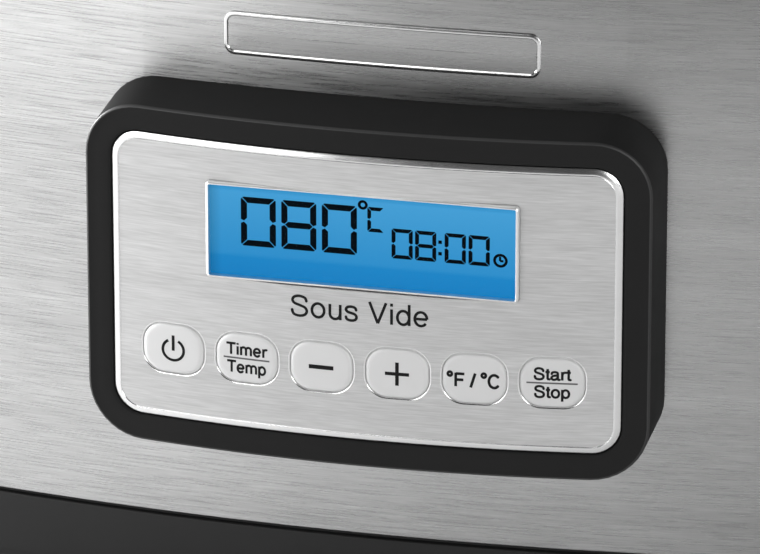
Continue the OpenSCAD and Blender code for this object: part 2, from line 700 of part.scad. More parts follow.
centred() base_ring();
centred() bottom_cover();
centred() rubber_feet();
centred() cover_screws();
centred() housing_shell();
centred() badge_plate();
centred() top_rim();
centred() inner_well();
centred() insulation_jacket();
centred() heating_plate();
centred() heater_element();
centred() probe_sensor();
centred() probe_spring();
centred() thermal_fuse();
centred() fuse_clip();
centred() power_board();
centred() power_board_screws();
centred() transformer();
centred() relay();
centred() capacitor();
centred() heater_leads();
centred() ribbon_cable();
centred() inlet_socket();
centred() inlet_pins();
centred() inlet_screws();
centred() handle_left();
centred() handle_right();
centred() handle_screws();
centred() panel_bezel();
centred() panel_carrier();
centred() face_plate();
centred() display_trim();
centred() display_lens();
centred() lcd_glass();
centred() backlight();
centred() lcd_frame();
centred() control_board();
centred() tact_switches();
centred() board_screws();
centred() panel_rear_plate();
centred() panel_screws();
centred() key_power();
centred() key_timer();
centred() key_minus();
centred() key_plus();
centred() key_unit();
centred() key_start();
centred() inner_pot();
centred() rack_rails();
centred() rack_dividers();
centred() lid_rim();
centred() lid_seal();
centred() lid_glass();
centred() vent_grommet();
centred() knob_washer();
centred() lid_knob();
centred() knob_screw();
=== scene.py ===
"""The looks of a sous vide water bath cooker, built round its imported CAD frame. Metres, +Z up, front -Y."""
import math

import bmesh
import bpy
from mathutils import Matrix, Vector
from mathutils.geometry import delaunay_2d_cdt


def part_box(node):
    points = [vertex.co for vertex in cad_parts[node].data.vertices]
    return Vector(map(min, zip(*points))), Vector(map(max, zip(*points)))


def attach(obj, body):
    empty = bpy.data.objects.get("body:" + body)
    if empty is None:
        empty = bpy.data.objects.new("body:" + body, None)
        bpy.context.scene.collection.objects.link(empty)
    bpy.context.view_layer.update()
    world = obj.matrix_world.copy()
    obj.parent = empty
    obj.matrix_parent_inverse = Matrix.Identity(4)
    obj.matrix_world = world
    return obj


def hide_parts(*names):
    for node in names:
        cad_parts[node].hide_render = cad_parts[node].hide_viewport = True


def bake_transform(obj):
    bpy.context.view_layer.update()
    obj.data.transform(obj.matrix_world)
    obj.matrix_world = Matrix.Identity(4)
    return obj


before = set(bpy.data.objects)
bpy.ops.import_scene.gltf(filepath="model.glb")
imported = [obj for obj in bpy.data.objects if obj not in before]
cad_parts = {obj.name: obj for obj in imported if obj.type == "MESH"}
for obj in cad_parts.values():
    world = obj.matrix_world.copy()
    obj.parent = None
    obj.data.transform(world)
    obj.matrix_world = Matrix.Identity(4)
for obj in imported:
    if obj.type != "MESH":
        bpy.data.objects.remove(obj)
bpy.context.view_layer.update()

MM = 0.001

# ---- Sizes: from the frame's boxes, and the radii that a box can't give ----

FRONT_R = 720 * MM          # bulge of the front and back walls
SIDE_R = 400 * MM           # bulge of the side walls
CORNER_R = 58 * MM          # the housing's upright corners
PANEL_R = 400 * MM          # the control panel's curved front
BEZEL_W = 7 * MM            # width of the bezel's front border
PANEL_CORNER = 15 * MM      # the bezel's outer corners
PLATE_DEPTH = 0.4 * MM      # how far the face plate lies behind the bezel's front

wall_low, wall_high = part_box("housing_shell")
bezel_low, bezel_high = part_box("panel_bezel")
rim_low, rim_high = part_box("top_rim")

HALF_W = wall_high.x
HALF_D = (wall_high.y - wall_low.y) / 2
MIDDLE_Y = (wall_high.y + wall_low.y) / 2
PANEL_W = bezel_high.x - bezel_low.x
PANEL_H = bezel_high.z - bezel_low.z
PANEL_Z = (bezel_high.z + bezel_low.z) / 2
PANEL_Y = bezel_low.y
OPEN_W = PANEL_W - 2 * BEZEL_W
OPEN_H = PANEL_H - 2 * BEZEL_W
OPEN_CORNER = PANEL_CORNER - BEZEL_W
WALL_CENTRE_Y = wall_low.y + FRONT_R
PANEL_CENTRE_Y = PANEL_Y + PANEL_R


# ---- Mesh helpers ----

def new_object(name, mesh):
    obj = bpy.data.objects.new(name, mesh)
    bpy.context.scene.collection.objects.link(obj)
    return obj


def smooth(mesh, angle=32):
    """Smooth shading, with sharp edges where faces meet at more than the angle in degrees."""
    for polygon in mesh.polygons:
        polygon.use_smooth = True
    mesh.set_sharp_from_angle(angle=math.radians(angle))


def mesh_from(verts, faces, merge=1e-7):
    """A mesh with outward normals and no doubled points."""
    mesh = bpy.data.meshes.new("mesh")
    mesh.from_pydata([tuple(v) for v in verts], [], faces)
    tidy_mesh(mesh, merge)
    return mesh


def tidy_mesh(mesh, merge=1e-7):
    bm = bmesh.new()
    bm.from_mesh(mesh)
    bmesh.ops.remove_doubles(bm, verts=bm.verts, dist=merge)
    bmesh.ops.recalc_face_normals(bm, faces=bm.faces)
    bm.to_mesh(mesh)
    bm.free()


def piece(name, mesh, material, body, node=None, angle=32):
    """A finished piece: shaded, painted, riding on its body and standing for its CAD node."""
    smooth(mesh, angle)
    mesh.name = name
    mesh.materials.clear()
    mesh.materials.append(material)
    obj = new_object(name, mesh)
    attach(obj, body)
    if node:
        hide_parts(node)
    return obj


def mesh_of(bm):
    """A new mesh from a bmesh, which is freed."""
    mesh = bpy.data.meshes.new("mesh")
    bm.to_mesh(mesh)
    bm.free()
    return mesh


def joined(meshes):
    """One mesh made of several."""
    bm = bmesh.new()
    for mesh in meshes:
        bm.from_mesh(mesh)
    return mesh_of(bm)


def fillet(points, closed=True, steps=4):
    """Rounds a section's corners. Each point is (u, z) or (u, z, radius)."""
    out = []
    count = len(points)
    for i, point in enumerate(points):
        here = Vector(point[:2])
        radius = point[2] if len(point) > 2 else 0
        if radius == 0 or (not closed and i in (0, count - 1)):
            out.append(tuple(here))
            continue
        before = Vector(points[i - 1][:2]) - here
        after = Vector(points[(i + 1) % count][:2]) - here
        half = before.angle(after) / 2
        trim = min(radius / math.tan(half), 0.49 * before.length, 0.49 * after.length)
        start = here + before.normalized() * trim
        end = here + after.normalized() * trim
        centre = here + (before.normalized() + after.normalized()).normalized() * trim / math.cos(half)
        a, b = start - centre, end - centre
        for k in range(steps + 1):
            t = k / steps
            way = a * (1 - t) + b * t
            out.append(tuple(centre + way.normalized() * a.length))
    return out


# ---- The housing's outline: eight tangent arcs, offset inward by u ----

def outline_columns():
    """For each column round the housing: its arc's centre and radius, and the outward direction."""
    front = Vector((0, -HALF_D + FRONT_R))
    side = Vector((HALF_W - SIDE_R, 0))
    r1, r2 = FRONT_R - CORNER_R, SIDE_R - CORNER_R
    d = (side - front).length
    along = (r1 * r1 - r2 * r2 + d * d) / (2 * d)
    e = (side - front) / d
    rise = math.sqrt(r1 * r1 - along * along)
    foot = front + along * e
    corner = max((foot + rise * Vector((e.y, -e.x)), foot - rise * Vector((e.y, -e.x))), key=lambda p: p.x)
    a1 = math.atan2(corner.y - front.y, corner.x - front.x)
    a2 = math.atan2(corner.y - side.y, corner.x - side.x)
    quarter = [(front, FRONT_R, -math.pi / 2, a1, 32), (corner, CORNER_R, a1, a2, 20),
               (side, SIDE_R, a2, 0, 20)]
    columns = []
    for mirror_x, mirror_y in ((1, 1), (1, -1), (-1, -1), (-1, 1)):
        part = []
        for centre, radius, start, end, steps in quarter:
            for k in range(steps):
                angle = start + (end - start) * k / steps
                way = Vector((math.cos(angle) * mirror_x, math.sin(angle) * mirror_y))
                part.append((Vector((centre.x * mirror_x, centre.y * mirror_y + MIDDLE_Y)), radius, way))
        if mirror_x * mirror_y < 0:
            last = (Vector((side.x * mirror_x, MIDDLE_Y)), SIDE_R, Vector((mirror_x, 0)))
            part = [last] + part[:0:-1]
        columns += part
    return columns


COLUMNS = outline_columns()


def outline(u):
    return [centre + (radius - u) * way for centre, radius, way in COLUMNS]


def outline_ring(u, z):
    """The outline, inset by u at the height z. Both are in millimetres."""
    return [Vector((p.x, p.y, z * MM)) for p in outline(u * MM)]


def sweep(section, closed=True, caps=False):
    """A section of (u, z) points in millimetres, swept round the housing's outline."""
    return ring_stack([outline_ring(u, z) for u, z in section], closed, caps, caps)


# ---- The panel's curved surfaces ----

def panel_y(x, depth=0.0):
    """Y of the panel's curved front, a depth behind it."""
    return PANEL_CENTRE_Y - math.sqrt((PANEL_R - depth) ** 2 - x * x)


def wall_y(x, out=0.0):
    """Y of the front wall, a distance out of it."""
    return WALL_CENTRE_Y - math.sqrt((FRONT_R + out) ** 2 - x * x)


def rounded_path(w, h, r, inset=0.0, corner_steps=10, edge_step=4 * MM):
    """Points round a rectangle with round corners, drawn in by inset. Its long edges are divided so that
    they can bend, in as many parts at any inset."""
    divisions_across = max(1, round(w / edge_step))
    w, h = w - 2 * inset, h - 2 * inset
    r = max(min(r - inset, w / 2 - 1e-6, h / 2 - 1e-6), 0.02 * MM)
    corners = [(w / 2 - r, h / 2 - r, 0), (-w / 2 + r, h / 2 - r, 90), (-w / 2 + r, -h / 2 + r, 180),
               (w / 2 - r, -h / 2 + r, 270)]
    points = []
    for index, (cx, cz, start) in enumerate(corners):
        for k in range(corner_steps + 1):
            a = math.radians(start + 90 * k / corner_steps)
            points.append(Vector((cx + r * math.cos(a), cz + r * math.sin(a))))
        nx, nz, after = corners[(index + 1) % 4]
        a = math.radians(after)
        target = Vector((nx + r * math.cos(a), nz + r * math.sin(a)))
        divisions = divisions_across if index % 2 == 0 else 4
        last = points[-1].copy()
        points += [last.lerp(target, k / divisions) for k in range(1, divisions)]
    return points


def ring_stack(rings, closed=False, cap=False, foot=False, merge=1e-7):
    """Joins rings of equal length. Each is a list of 3-D points; cap fills the last and foot the first."""
    count = len(rings[0])
    verts = [p for ring in rings for p in ring]
    faces = []
    rows = len(rings)
    for j in range(rows if closed else rows - 1):
        k = (j + 1) % rows
        for i in range(count):
            n = (i + 1) % count
            faces.append((j * count + i, j * count + n, k * count + n, k * count + i))
    if cap:
        faces.append(tuple(range((rows - 1) * count, rows * count)))
    if foot:
        faces.append(tuple(range(count)))
    return mesh_from(verts, faces, merge)


def panel_ring(w, h, r, inset, depth, x=0.0, z=0.0, edge_step=4 * MM):
    """A rounded rectangle on the panel, inset from w by h, lying a depth behind the curved front."""
    path = rounded_path(w, h, r, inset, edge_step=edge_step)
    return [Vector((x + p.x, panel_y(x + p.x, depth), PANEL_Z + z + p.y)) for p in path]


def wall_ring(w, h, r, inset, out, z):
    """A rounded rectangle on the front wall, about the height z, a distance out of it."""
    return [Vector((p.x, wall_y(p.x, out), z + p.y)) for p in rounded_path(w, h, r, inset)]


def new_curve(name, paths, closed=True, dimensions="2D"):
    """A curve object of straight stretches through each path's points."""
    curve = bpy.data.curves.new(name, "CURVE")
    curve.dimensions = dimensions
    for path in paths:
        spline = curve.splines.new("POLY")
        spline.points.add(len(path) - 1)
        for point, p in zip(spline.points, path):
            point.co = (*p, 1) if dimensions == "3D" else (p[0], p[1], 0, 1)
        spline.use_cyclic_u = closed
    return new_object(name, curve)


def evaluated_mesh(obj):
    """The object's shape as a new mesh, its modifiers or its curve's bevel included."""
    return bpy.data.meshes.new_from_object(obj.evaluated_get(bpy.context.evaluated_depsgraph_get()))


def curve_mesh(obj):
    """A curve object turned into a mesh. The curve is deleted."""
    mesh = evaluated_mesh(obj)
    curve = obj.data
    bpy.data.objects.remove(obj)
    bpy.data.curves.remove(curve)
    return mesh


def flat_fill(loops, step=2.5 * MM):
    """Fills 2-D loops, holes included, and cuts the result along X so that it can bend. Returns a bmesh."""
    obj = new_curve("fill", loops)
    obj.data.fill_mode = "BOTH"
    mesh = curve_mesh(obj)
    bm = bmesh.new()
    bm.from_mesh(mesh)
    bpy.data.meshes.remove(mesh)
    bmesh.ops.remove_doubles(bm, verts=bm.verts, dist=1e-7)
    cut_along_x(bm, step)
    return bm


def cut_along_x(bm, step):
    low = min(v.co.x for v in bm.verts)
    high = max(v.co.x for v in bm.verts)
    for k in range(math.ceil(low / step), math.floor(high / step) + 1):
        geometry = bm.verts[:] + bm.edges[:] + bm.faces[:]
        bmesh.ops.bisect_plane(bm, geom=geometry, dist=1e-7, plane_co=(k * step, 0, 0), plane_no=(1, 0, 0))


def merged(polygons):
    """Flat polygons, overlapping or not, as one bmesh of triangles in the XY plane. The triangles are worked
    out in millimetres."""
    points, faces = [], []
    for polygon in polygons:
        area = sum(a[0] * b[1] - b[0] * a[1] for a, b in zip(polygon, polygon[1:] + polygon[:1]))
        ordered = polygon if area > 0 else polygon[::-1]
        faces.append(list(range(len(points), len(points) + len(ordered))))
        points += [Vector((p[0] / MM, p[1] / MM)) for p in ordered]
    points, _, triangles, _, _, sources = delaunay_2d_cdt(points, [], faces, 1, 1e-4)
    bm = bmesh.new()
    verts = [bm.verts.new((p.x * MM, p.y * MM, 0)) for p in points]
    for triangle, source in zip(triangles, sources):
        if source:
            bm.faces.new([verts[i] for i in triangle])
    bmesh.ops.remove_doubles(bm, verts=bm.verts, dist=1e-7)
    return bm


def ink(name, polygons, y_of, body, material, thickness=0.03 * MM, step=2.5 * MM):
    """Thin printed shapes. Their polygons are (x, z) on the panel, and y_of gives their front from x."""
    bm = merged(polygons)
    cut_along_x(bm, step)
    fronts = bmesh.ops.extrude_face_region(bm, geom=bm.faces[:])["geom"]
    fronts = {v for v in fronts if isinstance(v, bmesh.types.BMVert)}
    for v in bm.verts:
        depth = 0 if v in fronts else thickness
        v.co = Vector((v.co.x, y_of(v.co.x) + depth, PANEL_Z + v.co.y))
    bmesh.ops.recalc_face_normals(bm, faces=bm.faces)
    return piece(name, mesh_of(bm), material, body, angle=20)


def stroke(points, pen, closed=False):
    """Convex pieces along a line: a bar for each stretch, and a disc where two stretches meet."""
    pairs = list(zip(points, points[1:])) + ([(points[-1], points[0])] if closed else [])
    pieces = []
    for start, end in pairs:
        start, end = Vector(start), Vector(end)
        way = (end - start).normalized()
        across = Vector((-way.y, way.x)) * pen / 2
        corners = (start + across, start - across, end - across, end + across)
        pieces.append([tuple(corner) for corner in corners])
    for x, z in points if closed else points[1:-1]:
        pieces.append(oval(x, z, pen / 2, pen / 2, steps=12)[:-1])
    return pieces


def oval(cx, cz, rx, rz, start=0, end=360, steps=32):
    """Points along part of an ellipse. The angles are in degrees, anticlockwise from +X."""
    angles = [math.radians(start + (end - start) * k / steps) for k in range(steps + 1)]
    return [(cx + rx * math.cos(a), cz + rz * math.sin(a)) for a in angles]


def curve_through(points, steps=6):
    """A Catmull-Rom curve through the points."""
    vectors = [Vector(p) for p in points]
    out = []
    for i in range(len(vectors) - 1):
        p0, p1 = vectors[max(i - 1, 0)], vectors[i]
        p2, p3 = vectors[i + 1], vectors[min(i + 2, len(vectors) - 1)]
        for k in range(steps):
            t = k / steps
            value = 0.5 * (2 * p1 + (p2 - p0) * t + (2 * p0 - 5 * p1 + 4 * p2 - p3) * t * t
                           + (3 * p1 - p0 - 3 * p2 + p3) * t * t * t)
            out.append(tuple(value))
    out.append(tuple(vectors[-1]))
    return out


def slab(loops, z0, z1, bevel, steps=3):
    """An upright prism over 2-D loops (x, y), holes included, with rounded edges."""
    obj = new_curve("slab", loops)
    obj.data.fill_mode = "BOTH"
    obj.data.extrude = (z1 - z0) / 2 - bevel
    obj.data.bevel_depth = bevel
    obj.data.bevel_resolution = steps
    obj.data.offset = -bevel
    mesh = curve_mesh(obj)
    mesh.transform(Matrix.Translation((0, 0, (z0 + z1) / 2)))
    tidy_mesh(mesh, 1e-6)
    return mesh


def lathe(profile, centre=(0, 0), steps=96):
    """A profile of (radius, z) points in metres, turned about an upright axis."""
    cx, cy = centre
    angles = [2 * math.pi * k / steps for k in range(steps)]
    rings = [[(cx + r * math.cos(a), cy + r * math.sin(a), z) for a in angles] for r, z in profile]
    return ring_stack(rings, merge=1e-6)


def tube(points, radius, closed=False, sides=16):
    """A round wire through 3-D points."""
    obj = new_curve("tube", [points], closed, "3D")
    obj.data.bevel_depth = radius
    obj.data.bevel_resolution = sides // 4 - 1
    obj.data.use_fill_caps = not closed
    mesh = curve_mesh(obj)
    tidy_mesh(mesh, 1e-6)
    return mesh


# ---- Materials ----

NOISE_LOW, NOISE_HIGH = 0.3, 0.7    # nearly all of a noise's values lie between these


def grey(v):
    return (v, v, v)


def tint(color, factor):
    return tuple(min(1, c * factor) for c in color)


class Paint:
    """A Principled material under construction, with short helpers for its procedural inputs."""

    def __init__(self, name, color, roughness, metallic=0.0):
        self.material = bpy.data.materials.new(name)
        self.material.use_nodes = True
        self.tree = self.material.node_tree
        self.bsdf = self.tree.nodes["Principled BSDF"]
        self.set("Base Color", (*color, 1))
        self.set("Roughness", roughness)
        self.set("Metallic", metallic)
        self.coords = self.node("ShaderNodeTexCoord")

    def set(self, socket, value):
        self.bsdf.inputs[socket].default_value = value

    def node(self, kind, inputs=None, **settings):
        """A new node. An input given as another node's output is linked, and any other is a plain value."""
        node = self.tree.nodes.new(kind)
        for key, value in settings.items():
            setattr(node, key, value)
        for socket, value in (inputs or {}).items():
            if isinstance(value, bpy.types.NodeSocket):
                self.tree.links.new(value, node.inputs[socket])
            else:
                node.inputs[socket].default_value = value
        return node

    def feed(self, socket, value):
        self.tree.links.new(value, self.bsdf.inputs[socket])

    def noise(self, scale, detail=3.0, roughness=0.55, stretch=(1, 1, 1)):
        """Noise in object space, its frequency along each axis multiplied by stretch."""
        mapping = self.node("ShaderNodeMapping", {"Scale": stretch, "Vector": self.coords.outputs["Object"]})
        noise = self.node("ShaderNodeTexNoise", {"Scale": scale, "Detail": detail, "Roughness": roughness,
                                                 "Vector": mapping.outputs["Vector"]})
        return noise.outputs["Fac"]

    def spread(self, value, low, high, from_low=NOISE_LOW, from_high=NOISE_HIGH):
        """The value, mapped to a range."""
        node = self.node("ShaderNodeMapRange", {"From Min": from_low, "From Max": from_high,
                                                "To Min": low, "To Max": high, "Value": value})
        return node.outputs["Result"]

    def colors(self, value, stops):
        """The value through a colour ramp. Each stop is (place, (r, g, b))."""
        node = self.node("ShaderNodeValToRGB", {"Fac": value})
        elements = node.color_ramp.elements
        while len(elements) < len(stops):
            elements.new(0.5)
        for element, (place, color) in zip(elements, stops):
            element.position = place
            element.color = (*color, 1)
        return node.outputs["Color"]

    def shades(self, value, color, darkest, lightest):
        """Feeds the colour, multiplied by a factor that rises with the value."""
        stops = [(NOISE_LOW, tint(color, darkest)), (NOISE_HIGH, tint(color, lightest))]
        self.feed("Base Color", self.colors(value, stops))

    def bump(self, height, strength, distance):
        node = self.node("ShaderNodeBump", {"Strength": strength, "Distance": distance, "Height": height})
        self.feed("Normal", node.outputs["Normal"])

    def mixed(self, a, b, share):
        """Two values, mixed: the second has the given share."""
        return self.node("ShaderNodeMix", {"Factor": share, "A": a, "B": b}).outputs["Result"]


def brushed_steel(name, color, contrast, roughness, grain=(70, 70, 2400), anisotropy=0.75):
    """Steel with a horizontal grain: short fine streaks in its colour, its roughness and its surface."""
    paint = Paint(name, color, roughness, 1.0)
    paint.set("Anisotropic", anisotropy)
    streaks = paint.noise(1.0, 2.0, 0.5, grain)
    drift = paint.noise(1.0, 2.0, 0.5, (12, 12, 160))
    paint.shades(paint.mixed(streaks, drift, 0.25), color, 1 - contrast, 1 + contrast)
    paint.feed("Roughness", paint.spread(streaks, roughness - 0.04, roughness + 0.06))
    paint.bump(streaks, 0.015, 0.02 * MM)
    upright = paint.node("ShaderNodeCombineXYZ", {"Z": 1.0})
    paint.feed("Tangent", upright.outputs["Vector"])
    return paint.material


def plain_metal(name, color, roughness, variation=0.06, scale=120.0):
    """Metal with slight smears in its polish."""
    paint = Paint(name, color, roughness, 1.0)
    smear = paint.noise(scale, 4.0)
    paint.shades(smear, color, 1 - variation, 1 + variation)
    uneven = 4 * variation
    paint.feed("Roughness", paint.spread(smear, roughness * (1 - uneven), roughness * (1 + uneven)))
    return paint.material


def moulded(name, color, roughness, texture=0.35, grain=2600.0, variation=0.12, metallic=0.0, specular=0.5):
    """Moulded plastic or rubber: a fine pebbled texture and slightly uneven gloss."""
    paint = Paint(name, color, roughness, metallic)
    paint.set("Specular IOR Level", specular)
    cloud = paint.noise(45.0, 3.0)
    paint.shades(cloud, color, 1 - variation, 1 + variation)
    paint.feed("Roughness", paint.spread(cloud, roughness - 0.05, roughness + 0.05))
    paint.bump(paint.noise(grain, 2.0), texture, 0.03 * MM)
    return paint.material


def clear_glass(name, color, low, high):
    """Glass as a thin see-through layer that turns reflective where it is seen edge on."""
    paint = Paint(name, color, 0.04, 0.0)
    edge = paint.node("ShaderNodeLayerWeight", {"Blend": 0.25})
    paint.feed("Alpha", paint.spread(edge.outputs["Facing"], low, high, 0.0, 1.0))
    paint.feed("Roughness", paint.spread(paint.noise(30.0), 0.02, 0.06))
    return paint.material


def speckled_coat(name, color):
    """A dark non-stick coat with fine pale speckles."""
    paint = Paint(name, color, 0.42, 0.0)
    cells = paint.node("ShaderNodeTexVoronoi", {"Scale": 700.0, "Vector": paint.coords.outputs["Object"]})
    stops = [(0.0, grey(0.5)), (0.10, grey(0.35)), (0.16, color)]
    paint.feed("Base Color", paint.colors(cells.outputs["Distance"], stops))
    paint.feed("Roughness", paint.spread(paint.noise(60.0), 0.36, 0.5))
    paint.bump(paint.noise(900.0, 2.0), 0.3, 0.05 * MM)
    return paint.material


def board_material(name):
    """A circuit board: solder mask over faint tracks."""
    green = (0.02, 0.16, 0.07)
    paint = Paint(name, green, 0.3, 0.0)
    tracks = paint.node("ShaderNodeTexBrick", {
        "Scale": 220.0, "Color1": (*green, 1), "Color2": (*tint(green, 1.25), 1),
        "Mortar": (*tint(green, 1.9), 1), "Mortar Size": 0.03, "Vector": paint.coords.outputs["Object"]})
    paint.feed("Base Color", tracks.outputs["Color"])
    return paint.material


def fibre(name, color):
    """A pressed fibre mat."""
    paint = Paint(name, color, 0.95, 0.0)
    strands = paint.noise(500.0, 6.0, 0.7, (1, 1, 3))
    paint.shades(strands, color, 0.75, 1.1)
    paint.bump(strands, 0.8, 0.6 * MM)
    return paint.material


def lcd_material(name, low, high):
    """A backlit display: deeper blue along its left and top edges, which is painted shade from the trim's
    recess, and in a band along the bottom.
    """
    paint = Paint(name, (0.004, 0.02, 0.04), 0.3, 0.0)
    split = paint.node("ShaderNodeSeparateXYZ", {"Vector": paint.coords.outputs["Object"]})
    height = paint.spread(split.outputs["Z"], 0.0, 1.0, low.z, high.z)
    # Bottom to top: a darker band along the bottom, and a darker top edge, which is painted shade from the
    # trim's recess
    stops = [(0.0, (0.006, 0.195, 0.500)), (0.20, (0.008, 0.215, 0.530)), (0.25, (0.024, 0.255, 0.560)),
             (0.60, (0.040, 0.290, 0.590)), (0.93, (0.055, 0.325, 0.630)), (1.0, (0.015, 0.240, 0.520))]
    glow = paint.colors(height, stops)
    # The left 3 mm of the glow is darkened: painted shade from the trim's recess
    edge = paint.spread(split.outputs["X"], 0.72, 1.0, low.x, low.x + 3 * MM)
    glow_with_painted_shade = paint.node("ShaderNodeVectorMath", operation="SCALE", inputs={0: glow, "Scale": edge})
    paint.feed("Emission Color", glow_with_painted_shade.outputs["Vector"])
    paint.set("Emission Strength", 1.0)
    paint.set("Specular IOR Level", 0.05)
    return paint.material


housing_steel = brushed_steel("housing_steel", grey(0.52), 0.20, 0.28)
face_steel = brushed_steel("face_steel", grey(0.61), 0.15, 0.70, (130, 130, 2600), 0.0)
bright_edge = plain_metal("bright_edge", grey(0.85), 0.20, 0.02)
satin_trim = plain_metal("satin_trim", grey(0.88), 0.42, 0.02)
polished_steel = plain_metal("polished_steel", (0.66, 0.66, 0.65), 0.20)
zinc_steel = plain_metal("zinc_steel", (0.55, 0.55, 0.53), 0.35, 0.12)
cast_aluminium = plain_metal("cast_aluminium", (0.60, 0.61, 0.62), 0.42, 0.08)
element_sheath = plain_metal("element_sheath", (0.22, 0.20, 0.19), 0.5, 0.2)
black_moulding = moulded("black_moulding", grey(0.010), 0.50, specular=0.3)
bezel_black = moulded("bezel_black", grey(0.017), 0.66, 0.10, 3500.0, 0.05, specular=0.06)
# The bezel's ridge: a glossier black whose lighter colour is a painted highlight along the front edge
painted_highlight_black = moulded("painted_highlight_black", grey(0.027), 0.42, 0.05, 3500.0, 0.1, specular=0.40)
foot_rubber = moulded("foot_rubber", grey(0.020), 0.75, 0.5, 1800.0)
component_dark = moulded("component_dark", (0.05, 0.05, 0.055), 0.4)
relay_blue = moulded("relay_blue", (0.03, 0.09, 0.34), 0.35)
lead_white = moulded("lead_white", (0.62, 0.62, 0.60), 0.5)
light_guide = moulded("light_guide", (0.80, 0.84, 0.88), 0.3)
ceramic_white = moulded("ceramic_white", (0.72, 0.70, 0.64), 0.35)
seal_silicone = moulded("seal_silicone", (0.42, 0.42, 0.41), 0.55, 0.2)
key_silver = moulded("key_silver", grey(0.67), 0.70, 0.06, 3000.0, 0.02, 0.5)
ink_black = moulded("ink_black", grey(0.006), 0.5, 0.1, 4000.0, 0.2, specular=0.15)
ink_grey = moulded("ink_grey", grey(0.09), 0.5, 0.1, 4000.0, 0.2)
segment_ink = moulded("segment_ink", (0.001, 0.003, 0.005), 0.6, 0.05, 4000.0, 0.2, specular=0.02)
nonstick = speckled_coat("nonstick", grey(0.055))
insulation = fibre("insulation", (0.62, 0.57, 0.42))
board_green = board_material("board_green")
lid_clear = clear_glass("lid_clear", (0.62, 0.74, 0.70), 0.10, 0.60)
lens_clear = clear_glass("lens_clear", (0.01, 0.03, 0.05), 0.01, 0.10)


# ---- Base and housing ----

def build_base_ring():
    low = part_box("base_ring")[0].z / MM
    top = wall_low.z / MM
    groove = top - 1.2
    section = fillet([(4, low, 1.5), (1.2, low + 1.2, 2.5), (0, low + 4, 3), (0, groove, 0.5),
                      (1.6, groove, 0.2), (1.6, top), (5, top), (5, low + 2.7), (5.5, low + 2.7), (5.5, low)])
    piece("base_moulding", sweep(section), black_moulding, "base", "base_ring")


def cutter(name, w, h, r, z, y0, y1):
    """A rounded bar along Y, to cut an opening with."""
    path = rounded_path(w, h, r)
    rings = [[Vector((p.x, y, z + p.y)) for p in path] for y in (y0, y1)]
    mesh = ring_stack(rings, cap=True)
    bm = bmesh.new()
    bm.from_mesh(mesh)
    bmesh.ops.holes_fill(bm, edges=bm.edges)
    bmesh.ops.recalc_face_normals(bm, faces=bm.faces)
    bm.to_mesh(mesh)
    bm.free()
    return new_object(name, mesh)


def cut(obj, tools):
    """The mesh that is left of obj when each tool's solid is taken out. Deletes obj and the tools."""
    for tool in tools:
        modifier = obj.modifiers.new("cut", "BOOLEAN")
        modifier.operation = "DIFFERENCE"
        modifier.solver = "EXACT"
        modifier.object = tool
    mesh = evaluated_mesh(obj)
    for tool in [obj] + tools:
        bpy.data.objects.remove(tool)
    return mesh


def build_housing():
    low, high = wall_low.z / MM, wall_high.z / MM
    section = fillet([(0, low, 0.4), (0, high, 0.2), (1, high, 0.2), (1, low, 0.4)], steps=3)
    blank = new_object("blank", sweep(section))
    inlet_low, inlet_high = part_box("inlet_socket")
    inlet_z = (inlet_low.z + inlet_high.z) / 2
    out, through = 10 * MM, 20 * MM
    front, back = wall_low.y, wall_high.y
    opening = cutter("panel_opening", 128 * MM, 72 * MM, 6 * MM, PANEL_Z, front - out, front + through)
    hole = cutter("inlet_hole", 29 * MM, 22 * MM, 3 * MM, inlet_z, back - through, back + out)
    mesh = cut(blank, [opening, hole])
    piece("housing_wall", mesh, housing_steel, "base", "housing_shell")


def build_badge():
    """A blank raised name plate: a brushed field inside a polished edge."""
    low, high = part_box("badge_plate")
    w, h, z = high.x - low.x, high.z - low.z, (high.z + low.z) / 2
    corner = 3 * MM

    def ring(inset, out):
        return wall_ring(w, h, corner, inset * MM, out * MM, z)

    edge = [(0, 0.1), (0, 0.55), (0.12, 0.78), (0.4, 0.9), (0.9, 0.9), (1.2, 0.6)]
    mesh = ring_stack([ring(inset, out) for inset, out in edge])
    piece("badge_edge", mesh, bright_edge, "base", "badge_plate")
    field = [(1.2, 0.6), (2, 0.62), (h / MM / 2 - 0.05, 0.66)]
    mesh = ring_stack([ring(inset, out) for inset, out in field], cap=True)
    piece("badge_field", mesh, housing_steel, "base")


def build_top_rim():
    low, top = rim_low.z / MM, rim_high.z / MM
    section = fillet([(-2, low, 0.6), (-2, top - 4.5, 2.5), (-1.2, top - 2, 2.2), (1.5, top, 2.5),
                      (24.5, top, 1.0), (26, top - 1.2, 1.0), (26, top - 3.5, 0.5), (3, top - 3.5),
                      (3, low + 1), (1.2, low + 1), (1.2, low + 5), (-0.2, low + 5), (-0.2, low, 0.3)])
    piece("top_rim_moulding", sweep(section), black_moulding, "base", "top_rim")


def build_well():
    low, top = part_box("inner_well")[0].z / MM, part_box("inner_well")[1].z / MM
    section = fillet([(60, low), (30, low), (26.5, low, 2.5), (26.5, top - 0.8), (6, top - 0.8), (6, top),
                      (27.3, top, 0.4), (27.3, low + 1, 2), (60, low + 1)], closed=False)
    mesh = sweep(section, closed=False, caps=True)
    piece("well_liner", mesh, polished_steel, "base", "inner_well")


